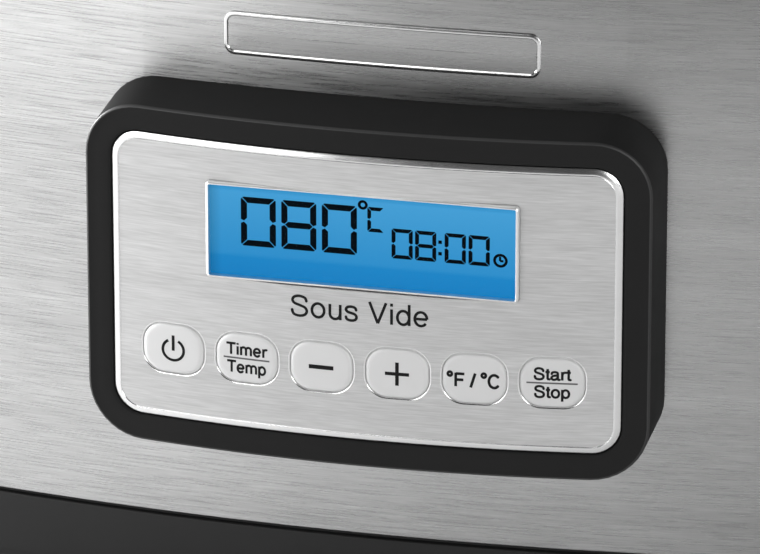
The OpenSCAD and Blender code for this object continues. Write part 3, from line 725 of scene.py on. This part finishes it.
def build_handle(side):
    """A loop handle: a rounded slab with a gap for the fingers."""
    node = "handle_right" if side > 0 else "handle_left"
    low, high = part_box(node)
    outer_x = high.x if side > 0 else -low.x
    half_l = high.y - MIDDLE_Y
    arm = 18 * MM
    bar = 10 * MM
    seat = 0.1 * MM
    side_centre = HALF_W - SIDE_R
    corner = 14 * MM

    def wall_x(y):
        return side_centre + math.sqrt((SIDE_R + seat) ** 2 - y * y)

    rounded = oval(outer_x - corner, -half_l + corner, corner, corner, -90, 0, 10)
    outer = [(wall_x(-half_l), -half_l)] + rounded + [(x, -y) for x, y in rounded[::-1]]
    outer += [(wall_x(half_l * (1 - 2 * k / 24)), half_l * (1 - 2 * k / 24)) for k in range(24)]
    gap_half = half_l - arm
    gap_outer = outer_x - bar
    turn = 7 * MM
    inner = oval(gap_outer - turn, -gap_half + turn, turn, turn, -90, 0, 9)
    bite = 1.5 * MM
    loop = [(wall_x(gap_half) + bite, -gap_half)] + inner + [(x, -y) for x, y in inner[::-1]]
    loop += [(wall_x(gap_half) + bite, gap_half)]
    loop += [(wall_x(gap_half * (1 - 2 * k / 16)) + bite, gap_half * (1 - 2 * k / 16)) for k in range(1, 16)]
    loops = [[(side * x, y + MIDDLE_Y) for x, y in path] for path in (outer, loop)]
    mesh = slab(loops, low.z, high.z, 2.4 * MM)
    piece(node + "_grip", mesh, black_moulding, "base", node)


# ---- Control panel ----

def build_bezel():
    def ring(inset, depth):
        return panel_ring(PANEL_W, PANEL_H, PANEL_CORNER, inset * MM, depth * MM)

    def seat(inset):
        return wall_ring(PANEL_W, PANEL_H, PANEL_CORNER, inset * MM, 0.1 * MM, PANEL_Z)

    border = BEZEL_W / MM
    rings = [ring(0.65, 0.01), ring(1.6, 0.16), ring(3.5, 0.2), ring(border - 0.8, 0.2),
             ring(border - 0.3, 0.3), ring(border - 0.05, 0.6), ring(border, 1.0), ring(border, 2.0),
             ring(4, 2.0), ring(4, 12), seat(4), seat(0), ring(0, 12), ring(0, 0.6)]
    piece("bezel_shell", ring_stack(rings), bezel_black, "base", "panel_bezel", 50)
    # The front edge's ridge takes the lighter black, a painted highlight
    ridge = [ring(0, 0.6), ring(0.07, 0.33), ring(0.25, 0.12), ring(0.5, 0.02), ring(0.65, 0.01)]
    piece("bezel_ridge", ring_stack(ridge), painted_highlight_black, "base", angle=60)


lens_low, lens_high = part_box("display_lens")
trim_low, trim_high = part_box("display_trim")
TRIM_EDGE = 0.8 * MM        # width of the display trim's bright front edge
LENS_GAP = 0.1 * MM         # between the lens and its trim
TRIM_W = lens_high.x - lens_low.x + 2 * (LENS_GAP + TRIM_EDGE)
TRIM_H = lens_high.z - lens_low.z + 2 * (LENS_GAP + TRIM_EDGE)
TRIM_Z = (lens_high.z + lens_low.z) / 2 - PANEL_Z
TRIM_CORNER = 1.2 * MM

KEYS = ["key_power", "key_timer", "key_minus", "key_plus", "key_unit", "key_start"]
KEY_FLANGE = 1 * MM         # how far a key's flange, behind the panel, reaches past its cap
KEY_CORNER = 5.5 * MM


def key_frame(node):
    """A key cap's centre (x, z) on the panel, its width and its height."""
    low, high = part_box(node)
    centre = ((low.x + high.x) / 2, (low.z + high.z) / 2 - PANEL_Z)
    return centre, high.x - low.x - 2 * KEY_FLANGE, high.z - low.z - 2 * KEY_FLANGE


def path_at(w, h, r, x, z, inset=0.0):
    return [(x + p.x, z + p.y) for p in rounded_path(w, h, r, inset)]


def build_face_plate():
    """The brushed plate, with holes for the display and the keys, and the bright bevels round its edges."""
    gap = 0.3 * MM              # between the plate and the bezel
    w, h, r = OPEN_W - 2 * gap, OPEN_H - 2 * gap, OPEN_CORNER - gap
    bead = 2.0 * MM             # width of the rounded bright edge
    key_gap = 0.2 * MM
    key_bevel = 0.45 * MM
    bevel_back = 1.9            # how far the bevels reach behind the panel's front, in millimetres
    keys = [key_frame(k) for k in KEYS]
    trim_gap = 0.1 * MM
    loops = [path_at(w, h, r, 0, 0, bead), path_at(TRIM_W, TRIM_H, TRIM_CORNER, 0, TRIM_Z, -trim_gap)]
    loops += [path_at(kw, kh, KEY_CORNER, x, z, -key_gap - key_bevel) for (x, z), kw, kh in keys]
    bm = flat_fill(loops)
    for v in bm.verts:
        v.co = Vector((v.co.x, panel_y(v.co.x, PLATE_DEPTH), PANEL_Z + v.co.y))
    for f in bm.faces:
        if f.normal.y > 0:
            f.normal_flip()
    piece("plate_field", mesh_of(bm), face_steel, "base", "face_plate")

    def outer(inset, depth):
        return panel_ring(w, h, r, inset, depth)

    rings = [outer(0, bevel_back * MM), outer(0, 0.9 * MM)]
    for k in range(10):
        t = k / 9
        rings.append(outer(0.05 * MM + 1.7 * MM * t, 0.3 * MM + 0.5 * MM * (1 - t) ** 1.5))
    rings += [outer(1.82 * MM, 0.34 * MM), outer(1.9 * MM, 0.46 * MM), outer(bead, PLATE_DEPTH)]
    bevels = [ring_stack(rings)]
    opening = path_at(TRIM_W, TRIM_H, TRIM_CORNER, 0, PANEL_Z + TRIM_Z, -trim_gap)
    walls = [[Vector((x, panel_y(x, depth), z)) for x, z in opening]
             for depth in (PLATE_DEPTH, bevel_back * MM)]
    bevels.append(ring_stack(walls))
    for (x, z), kw, kh in keys:
        slope = [(1, 0.4), (0.5, 0.44), (0.12, 0.6), (0, 0.9), (0, bevel_back)]
        rings = [panel_ring(kw, kh, KEY_CORNER, -key_gap - key_bevel * share, depth * MM, x, z)
                 for share, depth in slope]
        bevels.append(ring_stack(rings))
    piece("plate_bevels", joined(bevels), bright_edge, "base", angle=60)


def build_key(node):
    """A key cap: a flat top on the panel's curve with a broad rounded edge."""
    (x, z), w, h = key_frame(node)

    def ring(inset, depth):
        return panel_ring(w, h, KEY_CORNER, inset * MM, depth * MM, x, z, 2 * MM)

    edge, drop, top = 1.3, 0.55, 0.05
    profile = [(0.0, 4.4), (0.0, 1.0), (-0.15, 0.95), (-0.15, 0.8), (-0.05, 0.75), (0.0, top + drop)]
    for k in range(1, 10):
        t = math.radians(10 * k)
        profile.append((edge * (1 - math.cos(t)), top + drop * (1 - math.sin(t))))
    profile += [(2.2, top), (3.4, top), (4.8, top), (6.0, top), (h / MM / 2 - 0.05, top)]
    mesh = ring_stack([ring(i, d) for i, d in profile], cap=True)
    piece(node + "_cap", mesh, key_silver, node, node, 60)


# ---- Display ----

def segment(kind, x, z, w, h, s):
    """One bar of a seven-segment digit whose lower left corner is at (x, z); s is the stroke."""
    g = 0.09 * s
    c = 0.3 * s
    m = z + h / 2
    top, right = z + h, x + w
    shapes = {
        "a": [(x + c + g, top), (right - c - g, top), (right - c / 2 - g, top - c / 2),
              (right - s - g, top - s), (x + s + g, top - s), (x + c / 2 + g, top - c / 2)],
        "b": [(right, top - c - g), (right, m + s / 4 + g), (right - s / 2, m + g),
              (right - s, m + s / 2 + g), (right - s, top - s - g), (right - c / 2, top - c / 2 - g)],
        "g": [(x + s / 2 + g, m), (x + s + g, m + s / 2), (right - s - g, m + s / 2), (right - s / 2 - g, m),
              (right - s - g, m - s / 2), (x + s + g, m - s / 2)],
    }
    if kind in shapes:
        return shapes[kind]
    if kind == "c":
        return [(px, 2 * m - pz) for px, pz in shapes["b"]]
    if kind == "d":
        return [(px, 2 * m - pz) for px, pz in shapes["a"]]
    if kind == "f":
        return [(x + right - px, pz) for px, pz in shapes["b"]]
    return [(x + right - px, 2 * m - pz) for px, pz in shapes["b"]]


DIGITS = {"0": "abcdef", "8": "abcdefg", "C": "adef"}


def flat_ring(w, h, r, z, inset, y):
    """A rounded rectangle in an upright plane."""
    return [Vector((p.x, y, PANEL_Z + z + p.y)) for p in rounded_path(w, h, r, inset)]


def build_display():
    """The lit display in its flat trim, with 80 degrees and an 8 hour timer."""
    def trim(inset, y):
        return flat_ring(TRIM_W, TRIM_H, TRIM_CORNER, TRIM_Z, inset, y)

    front, back = trim_low.y, trim_high.y
    flange = -(trim_high.x - trim_low.x - TRIM_W) / 2
    flange_y = back - 1.1 * MM
    slope = [(0, 0.5), (0.06, 0.36), (0.25, 0.2), (0.45, 0.07), (0.6, 0), (0.68, 0), (0.76, 0.06), (0.8, 0.2)]
    rings = [trim(inset * TRIM_EDGE / 0.8, front + depth * MM) for inset, depth in slope]
    rings += [trim(TRIM_EDGE, back), trim(flange, back), trim(flange, flange_y), trim(0, flange_y)]
    piece("trim_frame", ring_stack(rings, closed=True), satin_trim, "base", "display_trim",
          30)

    def sheet(low, high):
        w, h = high.x - low.x, high.z - low.z
        return ring_stack([flat_ring(w, h, 0.2 * MM, TRIM_Z, 0, y) for y in (high.y, low.y)], cap=True)

    low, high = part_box("lcd_glass")
    piece("lcd_face", sheet(low, high), lcd_material("lcd_blue", low, high), "base", "lcd_glass")
    piece("lens_sheet", sheet(lens_low, lens_high), lens_clear, "base", "display_lens")

    left, top = low.x + 0.1 * MM, high.z - PANEL_Z - 0.1 * MM
    baseline = 16.5             # how far the digits' feet lie below the display's top
    groups = [(digit, 8.15 + index * 10.75, baseline, 9.3, 13.6, 1.65) for index, digit in enumerate("080")]
    groups.append(("C", 41.7, 9.7, 4.4, 6.9, 1.0))
    timer = zip("0800", (48.1, 54.3, 62.1, 68.4))
    groups += [(digit, start, baseline, 5.6, 8.3, 1.05) for digit, start in timer]
    shapes = []
    for digit, start, bottom, width, height, pen in groups:
        for kind in DIGITS[digit]:
            x, z = left + start * MM, top - bottom * MM
            shapes.append(segment(kind, x, z, width * MM, height * MM, pen * MM))
    for rise in (2.4, 5.6):
        shapes.append(bar(left + 60.9 * MM, top - (baseline - rise) * MM, 0.95 * MM, 0.95 * MM))
    shapes += stroke(oval(left + 40.5 * MM, top - 2.4 * MM, 0.95 * MM, 0.95 * MM)[:-1], 0.75 * MM, True)
    clock_x, clock_z = left + 76.8 * MM, top - 14.6 * MM
    shapes += stroke(oval(clock_x, clock_z, 1.55 * MM, 1.55 * MM)[:-1], 0.75 * MM, True)
    for hand in ([(-0.1, 1.1), (-0.1, -0.1)], [(-0.1, -0.1), (0.8, -0.1)]):
        shapes += stroke([(clock_x + x * MM, clock_z + z * MM) for x, z in hand], 0.6 * MM)
    ink("lcd_segments", shapes, lambda x: low.y - 0.04 * MM, "base", segment_ink)


# ---- Legends: plain letters made of strokes. Their units are thousandths of the type size. ----

CAP = 718                   # height of a capital letter
PEN = 84                    # width of a regular stroke


def stem(x, low=0, high=523):
    return [(x, low), (x, high)]


def rule(z, left, right):
    return [(left, z), (right, z)]


# For each letter: the width it takes, then its strokes
LETTERS = {
    " ": (278, []),
    "S": (667, [curve_through([(566, 522), (515, 640), (340, 695), (170, 655), (107, 548), (165, 445),
                               (335, 385), (505, 320), (577, 200), (510, 70), (330, 23), (145, 75),
                               (90, 225)])]),
    "o": (556, [oval(278, 262, 201, 234)]),
    "u": (556, [[(110, 523)] + oval(276, 195, 166, 168, 180, 360), stem(447)]),
    "s": (500, [curve_through([(412, 382), (372, 463), (250, 496), (125, 470), (80, 388), (135, 315),
                               (252, 280), (372, 240), (422, 150), (375, 58), (248, 27), (115, 60),
                               (74, 150)])]),
    "V": (667, [[(64, 718), (333, 8)], [(602, 718), (333, 8)]]),
    "i": (222, [stem(111), stem(111, 614, 718)]),
    "d": (556, [oval(267, 262, 190, 234), stem(457, 0, 718)]),
    "e": (556, [oval(278, 262, 196, 234, 0, 322), rule(262, 82, 474)]),
    "T": (611, [rule(676, 14, 597), stem(306, 0, 676)]),
    "m": (833, [stem(107), oval(262, 340, 155, 156, 180, 0) + [(417, 0)],
                oval(572, 340, 155, 156, 180, 0) + [(727, 0)]]),
    "r": (333, [stem(119), curve_through([(119, 280), (150, 410), (225, 472), (335, 482)])]),
    "p": (556, [oval(289, 262, 190, 234), stem(100, -207, 523)]),
    "t": (278, [[(140, 669), (140, 150)] + curve_through([(140, 120), (162, 55), (255, 42)]),
                rule(486, 14, 257)]),
    "a": (556, [curve_through([(88, 372), (125, 462), (268, 496), (395, 462), (425, 365), (427, 200),
                               (430, 70), (470, 32), (530, 38)]),
                curve_through([(427, 305), (330, 288), (165, 252), (80, 150), (125, 48), (235, 27), (360, 80),
                               (427, 190)])]),
    "F": (611, [stem(128, 0, 718), rule(676, 128, 583), rule(358, 128, 531)]),
    "C": (722, [oval(363, 359, 277, 336, 38, 322)]),
    "°": (330, [oval(150, 650, 105, 105)]),
    "/": (278, [[(22, -19), (256, 737)]]),
}


def bar(x, z, w, h):
    """A rectangle about (x, z)."""
    return [(x - w / 2, z - h / 2), (x + w / 2, z - h / 2), (x + w / 2, z + h / 2), (x - w / 2, z + h / 2)]


def lettering(text, cap, width, x, z, weight=1.0):
    """The polygons of a word that is width wide and cap high, centred on x, with its baseline at z."""
    margin = 40
    total = sum(LETTERS[letter][0] for letter in text) - 2 * margin
    sx, sz = width / total, cap / CAP
    cursor = -total / 2 - margin
    polygons = []
    for letter in text:
        advance, strokes = LETTERS[letter]
        for points in strokes:
            for quad in stroke(points, PEN * weight):
                polygons.append([(x + (cursor + px) * sx, z + pz * sz) for px, pz in quad])
        cursor += advance
    return polygons


def build_legends():
    def plate_front(x):
        return panel_y(x, PLATE_DEPTH - 0.03 * MM)

    def key_front(x):
        return panel_y(x, 0.02 * MM)

    title = lettering("Sous Vide", 5.9 * MM, 36.6 * MM, -0.5 * MM, -6.3 * MM, 1.1)
    ink("legend_title", title, plate_front, "base", ink_black)

    x, z = key_frame("key_power")[0]
    ring = oval(x, z - 0.2 * MM, 2.9 * MM, 2.9 * MM, 118, 422)
    shapes = stroke(ring, 0.75 * MM) + [bar(x, z + 1.75 * MM, 0.8 * MM, 4.3 * MM)]
    ink("legend_power", shapes, key_front, "key_power", ink_black)
    x, z = key_frame("key_minus")[0]
    ink("legend_minus", [bar(x, z, 6.6 * MM, 1.15 * MM)], key_front, "key_minus", ink_black)
    x, z = key_frame("key_plus")[0]
    shapes = [bar(x, z, 6.4 * MM, 0.95 * MM), bar(x, z, 0.95 * MM, 6.5 * MM)]
    ink("legend_plus", shapes, key_front, "key_plus", ink_black)
    x, z = key_frame("key_unit")[0]
    shapes = lettering("°F / °C", 3.8 * MM, 13.7 * MM, x, z - 2.2 * MM, 1.75)
    ink("legend_unit", shapes, key_front, "key_unit", ink_black)
    for node, upper, lower, width, line in (("key_timer", "Timer", "Temp", 10.7 * MM, 12.5 * MM),
                                            ("key_start", "Start", "Stop", 9.4 * MM, 13.2 * MM)):
        x, z = key_frame(node)[0]
        shapes = lettering(upper, 3.3 * MM, width, x, z + 0.9 * MM, 1.7)
        shapes += lettering(lower, 3.3 * MM, width * 0.97, x, z - 4.1 * MM, 1.7)
        ink(node + "_words", shapes, key_front, node, ink_black)
        ink(node + "_line", [bar(x, z, line, 0.45 * MM)], key_front, node, ink_grey)


# ---- Pot, rack and lid ----

def build_pot():
    low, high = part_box("inner_pot")
    z, top = low.z / MM, high.z / MM
    section = fillet([(60, z), (35.5, z, 5), (29.5, z + 6, 5), (29.5, top - 2), (15, top - 2, 0.5),
                      (14.2, top - 1.4, 0.6), (14.2, top - 0.6, 0.6), (15, top, 0.5), (31.5, top, 1.5),
                      (31.5, z + 8, 6), (38, z + 2, 5), (60, z + 2)], closed=False)
    mesh = sweep(section, closed=False, caps=True)
    piece("pot_shell", mesh, nonstick, "pot", "inner_pot")


def build_rack():
    """Welded wire dividers with rounded upper corners, standing on two rails."""
    low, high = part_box("rack_dividers")
    rails_low, rails_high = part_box("rack_rails")
    wire = 1.6 * MM
    half = (high.y - low.y) / 2 - wire
    bend = 14 * MM
    foot_bend = 4 * MM
    base = low.z + wire * 0.9
    xs = [low.x + wire + k * (high.x - low.x - 2 * wire) / 4 for k in range(5)]
    end_top = high.z - wire
    mid_top = end_top - 22 * MM     # the three dividers in the middle are lower
    meshes = []
    for index, x in enumerate(xs):
        top = end_top if index in (0, 4) else mid_top
        foot = oval(half - foot_bend, base + foot_bend, foot_bend, foot_bend, -90, 0, 8)
        path = foot + oval(half - bend, top - bend, bend, bend, 0, 90, 8)
        path = path + [(-y, z) for y, z in path[::-1]]
        meshes.append(tube([(x, MIDDLE_Y + y, z) for y, z in path], wire * 0.95, closed=True))
        middle = (base + mid_top) / 2
        ends = [(x, MIDDLE_Y - half, middle), (x, MIDDLE_Y + half, middle)]
        meshes.append(tube(ends, wire * 0.8))
    piece("divider_wires", joined(meshes), polished_steel, "rack", "rack_dividers")
    rail_r = (rails_high.z - rails_low.z) / 2
    rail_z = (rails_low.z + rails_high.z) / 2
    rail_y = (rails_high.y - rails_low.y) / 2 - rail_r
    rails = []
    for y in (MIDDLE_Y - rail_y, MIDDLE_Y + rail_y):
        ends = [(rails_low.x, y, rail_z), (rails_high.x, y, rail_z)]
        rails.append(tube(ends, rail_r))
    piece("rack_rail_wires", joined(rails), polished_steel, "rack", "rack_rails")


def build_lid():
    glass_lo, glass_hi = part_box("lid_glass")
    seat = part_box("inner_pot")[1].z / MM + 0.1
    glass_z, top = glass_lo.z / MM, glass_hi.z / MM
    outer = 15                      # the band's inset from the housing's outline
    lip_out, lip_in = 33.6, 34.4    # the same for the lip that hangs inside the pot
    section = fillet([(outer, seat + 2.4, 0.3), (outer, glass_z + 3.4, 0.6),
                      (outer + 0.8, glass_z + 4.6, 0.8), (outer + 6, glass_z + 4.6, 0.3),
                      (outer + 6, glass_z + 3.8), (outer + 1, glass_z + 3.8), (outer + 1, seat + 2.5),
                      (lip_in, seat + 2.5), (lip_in, seat - 6), (lip_out, seat - 6), (lip_out, seat + 1.6),
                      (outer + 0.8, seat + 1.6, 0.5)])
    piece("lid_rim_band", sweep(section), polished_steel, "lid", "lid_rim")
    section = fillet([(19, seat + 0.1, 0.3), (18.4, seat + 0.8, 0.3), (18.4, seat + 1.55),
                      (23.6, seat + 1.55), (23.6, seat + 0.8, 0.3), (23, seat + 0.1, 0.3)])
    piece("lid_seal_band", sweep(section), seal_silicone, "lid", "lid_seal")

    thick = 3.6                     # of the glass
    edge, flat, steps = 23, 54, 20  # the dome's start and top as insets, and the rings between them
    rise = top - glass_z - thick
    radius = ((flat - edge) ** 2 + rise * rise) / (2 * rise)

    def dome(k, drop):
        u = (flat - edge) * (1 - k / steps)
        shrink = (1 - (flat - edge) * MM * k / steps / (HALF_W - edge * MM),
                  1 - (flat - edge) * MM * k / steps / (HALF_D - edge * MM))
        z = top - drop - radius + math.sqrt(radius * radius - u * u)
        return [Vector((p.x * shrink[0], MIDDLE_Y + (p.y - MIDDLE_Y) * shrink[1], p.z))
                for p in outline_ring(edge, z)]

    flange = fillet([(edge, glass_z), (16.4, glass_z, 0.8), (16.4, glass_z + thick, 0.8),
                     (edge, glass_z + thick)], closed=False)
    rings = [dome(k, thick) for k in range(steps, 0, -1)]
    rings += [outline_ring(u, z) for u, z in flange]
    rings += [dome(k, 0) for k in range(1, steps + 1)]
    blank = new_object("blank", ring_stack(rings, cap=True, foot=True))
    vent_low, vent_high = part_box("vent_grommet")
    vent_x = (vent_low.x + vent_high.x) / 2
    hole_r, hole_low, hole_high = 4 * MM, (top - 10) * MM, (top + 5) * MM
    drill = [(0, hole_low), (hole_r, hole_low), (hole_r, hole_high), (0, hole_high)]
    tools = [new_object("drill", lathe(drill, (x, MIDDLE_Y), 32)) for x in (0, vent_x)]
    mesh = cut(blank, tools)
    piece("lid_dome", mesh, lid_clear, "lid", "lid_glass", 40)


def build_knob():
    """A mushroom knob with a waist for the fingers and a domed top."""
    low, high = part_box("lid_knob")
    radius = (high.x - low.x) / 2
    shape = [(0.0, 0.0), (12.2, 0.0), (12.5, 0.3), (12.5, 1.2), (11.6, 2.3), (10.2, 3.8), (9.35, 6.0),
             (9.0, 8.5), (9.2, 10.8), (10.2, 13.0), (12.6, 15.0), (16.2, 16.2), (19.8, 17.2), (22.0, 18.6),
             (23.0, 20.4), (22.9, 22.2), (21.8, 24.0), (19.4, 25.6), (15.6, 26.9), (10.8, 27.7), (5.5, 28.1),
             (0.0, 28.2)]
    shape_r, shape_h = 23.0, 28.2
    stretch_r, stretch_h = radius / shape_r, (high.z - low.z) / shape_h
    profile = curve_through([(r * stretch_r, low.z + h * stretch_h) for r, h in shape], 4)
    profile = [(max(r, 0.0), h) for r, h in profile]
    mesh = lathe(profile, (0, MIDDLE_Y))
    piece("knob_body", mesh, black_moulding, "lid", "lid_knob", 40)


def build_spring():
    """The probe's coil spring, wound from the foot of its box to the top."""
    low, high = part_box("probe_spring")
    centre = (low + high) / 2
    wire, turns, steps = 0.6 * MM, 5, 160
    radius = (high.x - low.x) / 2 - wire
    points = []
    for k in range(steps + 1):
        angle = 2 * math.pi * turns * k / steps
        points.append((centre.x + radius * math.cos(angle), centre.y + radius * math.sin(angle),
                       low.z + wire + (high.z - low.z - 2 * wire) * k / steps))
    mesh = tube(points, wire)
    smooth(mesh)
    mesh.materials.append(zinc_steel)
    obj = new_object("spring_coil", mesh)
    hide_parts("probe_spring")
    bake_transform(obj)


# ---- CAD nodes that stay: finer edges and their own material ----

def dress(node, material, bevel=0.0):
    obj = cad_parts[node]
    for index in range(len(obj.data.materials)):
        obj.data.materials[index] = material
    if bevel:
        weld = obj.modifiers.new("weld", "WELD")
        weld.merge_threshold = 1e-6
        edges = obj.modifiers.new("edges", "BEVEL")
        edges.width = bevel
        edges.segments = 2
        edges.limit_method = "ANGLE"
        edges.angle_limit = math.radians(40)
        edges.use_clamp_overlap = True


def dress_cad():
    for node in ("cover_screws", "fuse_clip", "inlet_screws", "handle_screws", "board_screws",
                 "power_board_screws", "panel_rear_plate", "panel_screws"):
        dress(node, zinc_steel)
    for node in ("inlet_pins", "vent_grommet", "knob_washer", "knob_screw"):
        dress(node, polished_steel, 0.15 * MM)
    dress("bottom_cover", black_moulding, 0.4 * MM)
    dress("inlet_socket", black_moulding, 0.35 * MM)
    dress("rubber_feet", foot_rubber, 0.5 * MM)
    dress("insulation_jacket", insulation)
    dress("heating_plate", cast_aluminium, 0.8 * MM)
    dress("probe_sensor", cast_aluminium, 0.2 * MM)
    dress("heater_element", element_sheath)
    dress("thermal_fuse", ceramic_white, 0.2 * MM)
    dress("power_board", board_green)
    dress("control_board", board_green)
    dress("transformer", component_dark, 0.5 * MM)
    dress("capacitor", component_dark, 0.4 * MM)
    dress("relay", relay_blue, 0.4 * MM)
    dress("heater_leads", lead_white)
    dress("ribbon_cable", lead_white)
    dress("panel_carrier", black_moulding)
    dress("backlight", light_guide, 0.2 * MM)
    dress("lcd_frame", light_guide, 0.3 * MM)
    dress("tact_switches", component_dark, 0.2 * MM)


# ---- Stage, light and camera ----

def build_stage():
    """A wide, pale, slightly uneven floor just under the feet."""
    half, level = 5.0, -0.2 * MM
    corners = [(-half, -half, level), (half, -half, level), (half, half, level), (-half, half, level)]
    mesh = mesh_from(corners, [(0, 1, 2, 3)])
    paint = Paint("floor", grey(0.64), 0.75)
    stops = [(NOISE_LOW, grey(0.62)), (NOISE_HIGH, grey(0.66))]
    paint.feed("Base Color", paint.colors(paint.noise(3.0), stops))
    mesh.materials.append(paint.material)
    new_object("floor", mesh)


def direction(azimuth, elevation):
    """The way out of the object, from angles in degrees. Azimuth 0 is in front, and -90 is to the left."""
    a, e = math.radians(azimuth), math.radians(elevation)
    return Vector((math.sin(a) * math.cos(e), -math.cos(a) * math.cos(e), math.sin(e)))


def softbox(name, azimuth, elevation, size, power, distance=1.9):
    """A rectangular light aimed at the middle of the object."""
    light = bpy.data.lights.new(name, "AREA")
    light.shape = "RECTANGLE"
    light.size, light.size_y = size
    light.energy = power
    way = direction(azimuth, elevation)
    obj = new_object(name, light)
    obj.location = Vector((0, 0, 0.1)) + way * distance
    obj.rotation_euler = (-way).to_track_quat("-Z", "Y").to_euler()


def build_light():
    """One long, low softbox far to the left rakes the front, and weak ones fill in."""
    world = bpy.data.worlds.new("studio")
    bpy.context.scene.world = world
    world.use_nodes = True
    world.node_tree.nodes["Background"].inputs["Color"].default_value = (1, 1, 1, 1)
    world.node_tree.nodes["Background"].inputs["Strength"].default_value = 0.05
    softbox("softbox_side", -110, 10, (2.1, 0.7), 218)
    softbox("softbox_top", -40, 70, (0.7, 0.7), 4)
    softbox("fill_left", -37, 10, (1.4, 0.7), 11)
    softbox("fill_right", 45, 15, (1.0, 0.7), 16)
    softbox("fill_back", 180, 72, (1.2, 0.7), 1)
    bpy.context.scene.view_settings.view_transform = "Standard"


def build_camera():
    """The photograph's view: 13 degrees to the right of the panel and 22 above it, through a long lens."""
    azimuth, elevation, distance = 12.94, 22.3, 2.0
    camera = bpy.data.cameras.new("camera")
    camera.sensor_width = 36
    camera.lens = 366.8
    camera.clip_end = 50
    back = direction(azimuth, elevation)
    right = direction(azimuth + 90, 0)
    up = back.cross(right)
    to_right, to_top = 5.05 * MM, 5.99 * MM
    aim = Vector((0, PANEL_Y, PANEL_Z)) + right * to_right + up * to_top
    obj = new_object("camera", camera)
    turn = Matrix((right, up, back)).transposed().to_4x4()
    obj.matrix_world = Matrix.Translation(aim + back * distance) @ turn
    bpy.context.scene.camera = obj


build_camera()
build_stage()
build_light()
build_base_ring()
build_housing()
build_badge()
build_top_rim()
build_well()
build_handle(1)
build_handle(-1)
build_bezel()
build_face_plate()
for key_node in KEYS:
    build_key(key_node)
build_display()
build_legends()
build_pot()
build_rack()
build_lid()
build_knob()
build_spring()
dress_cad()
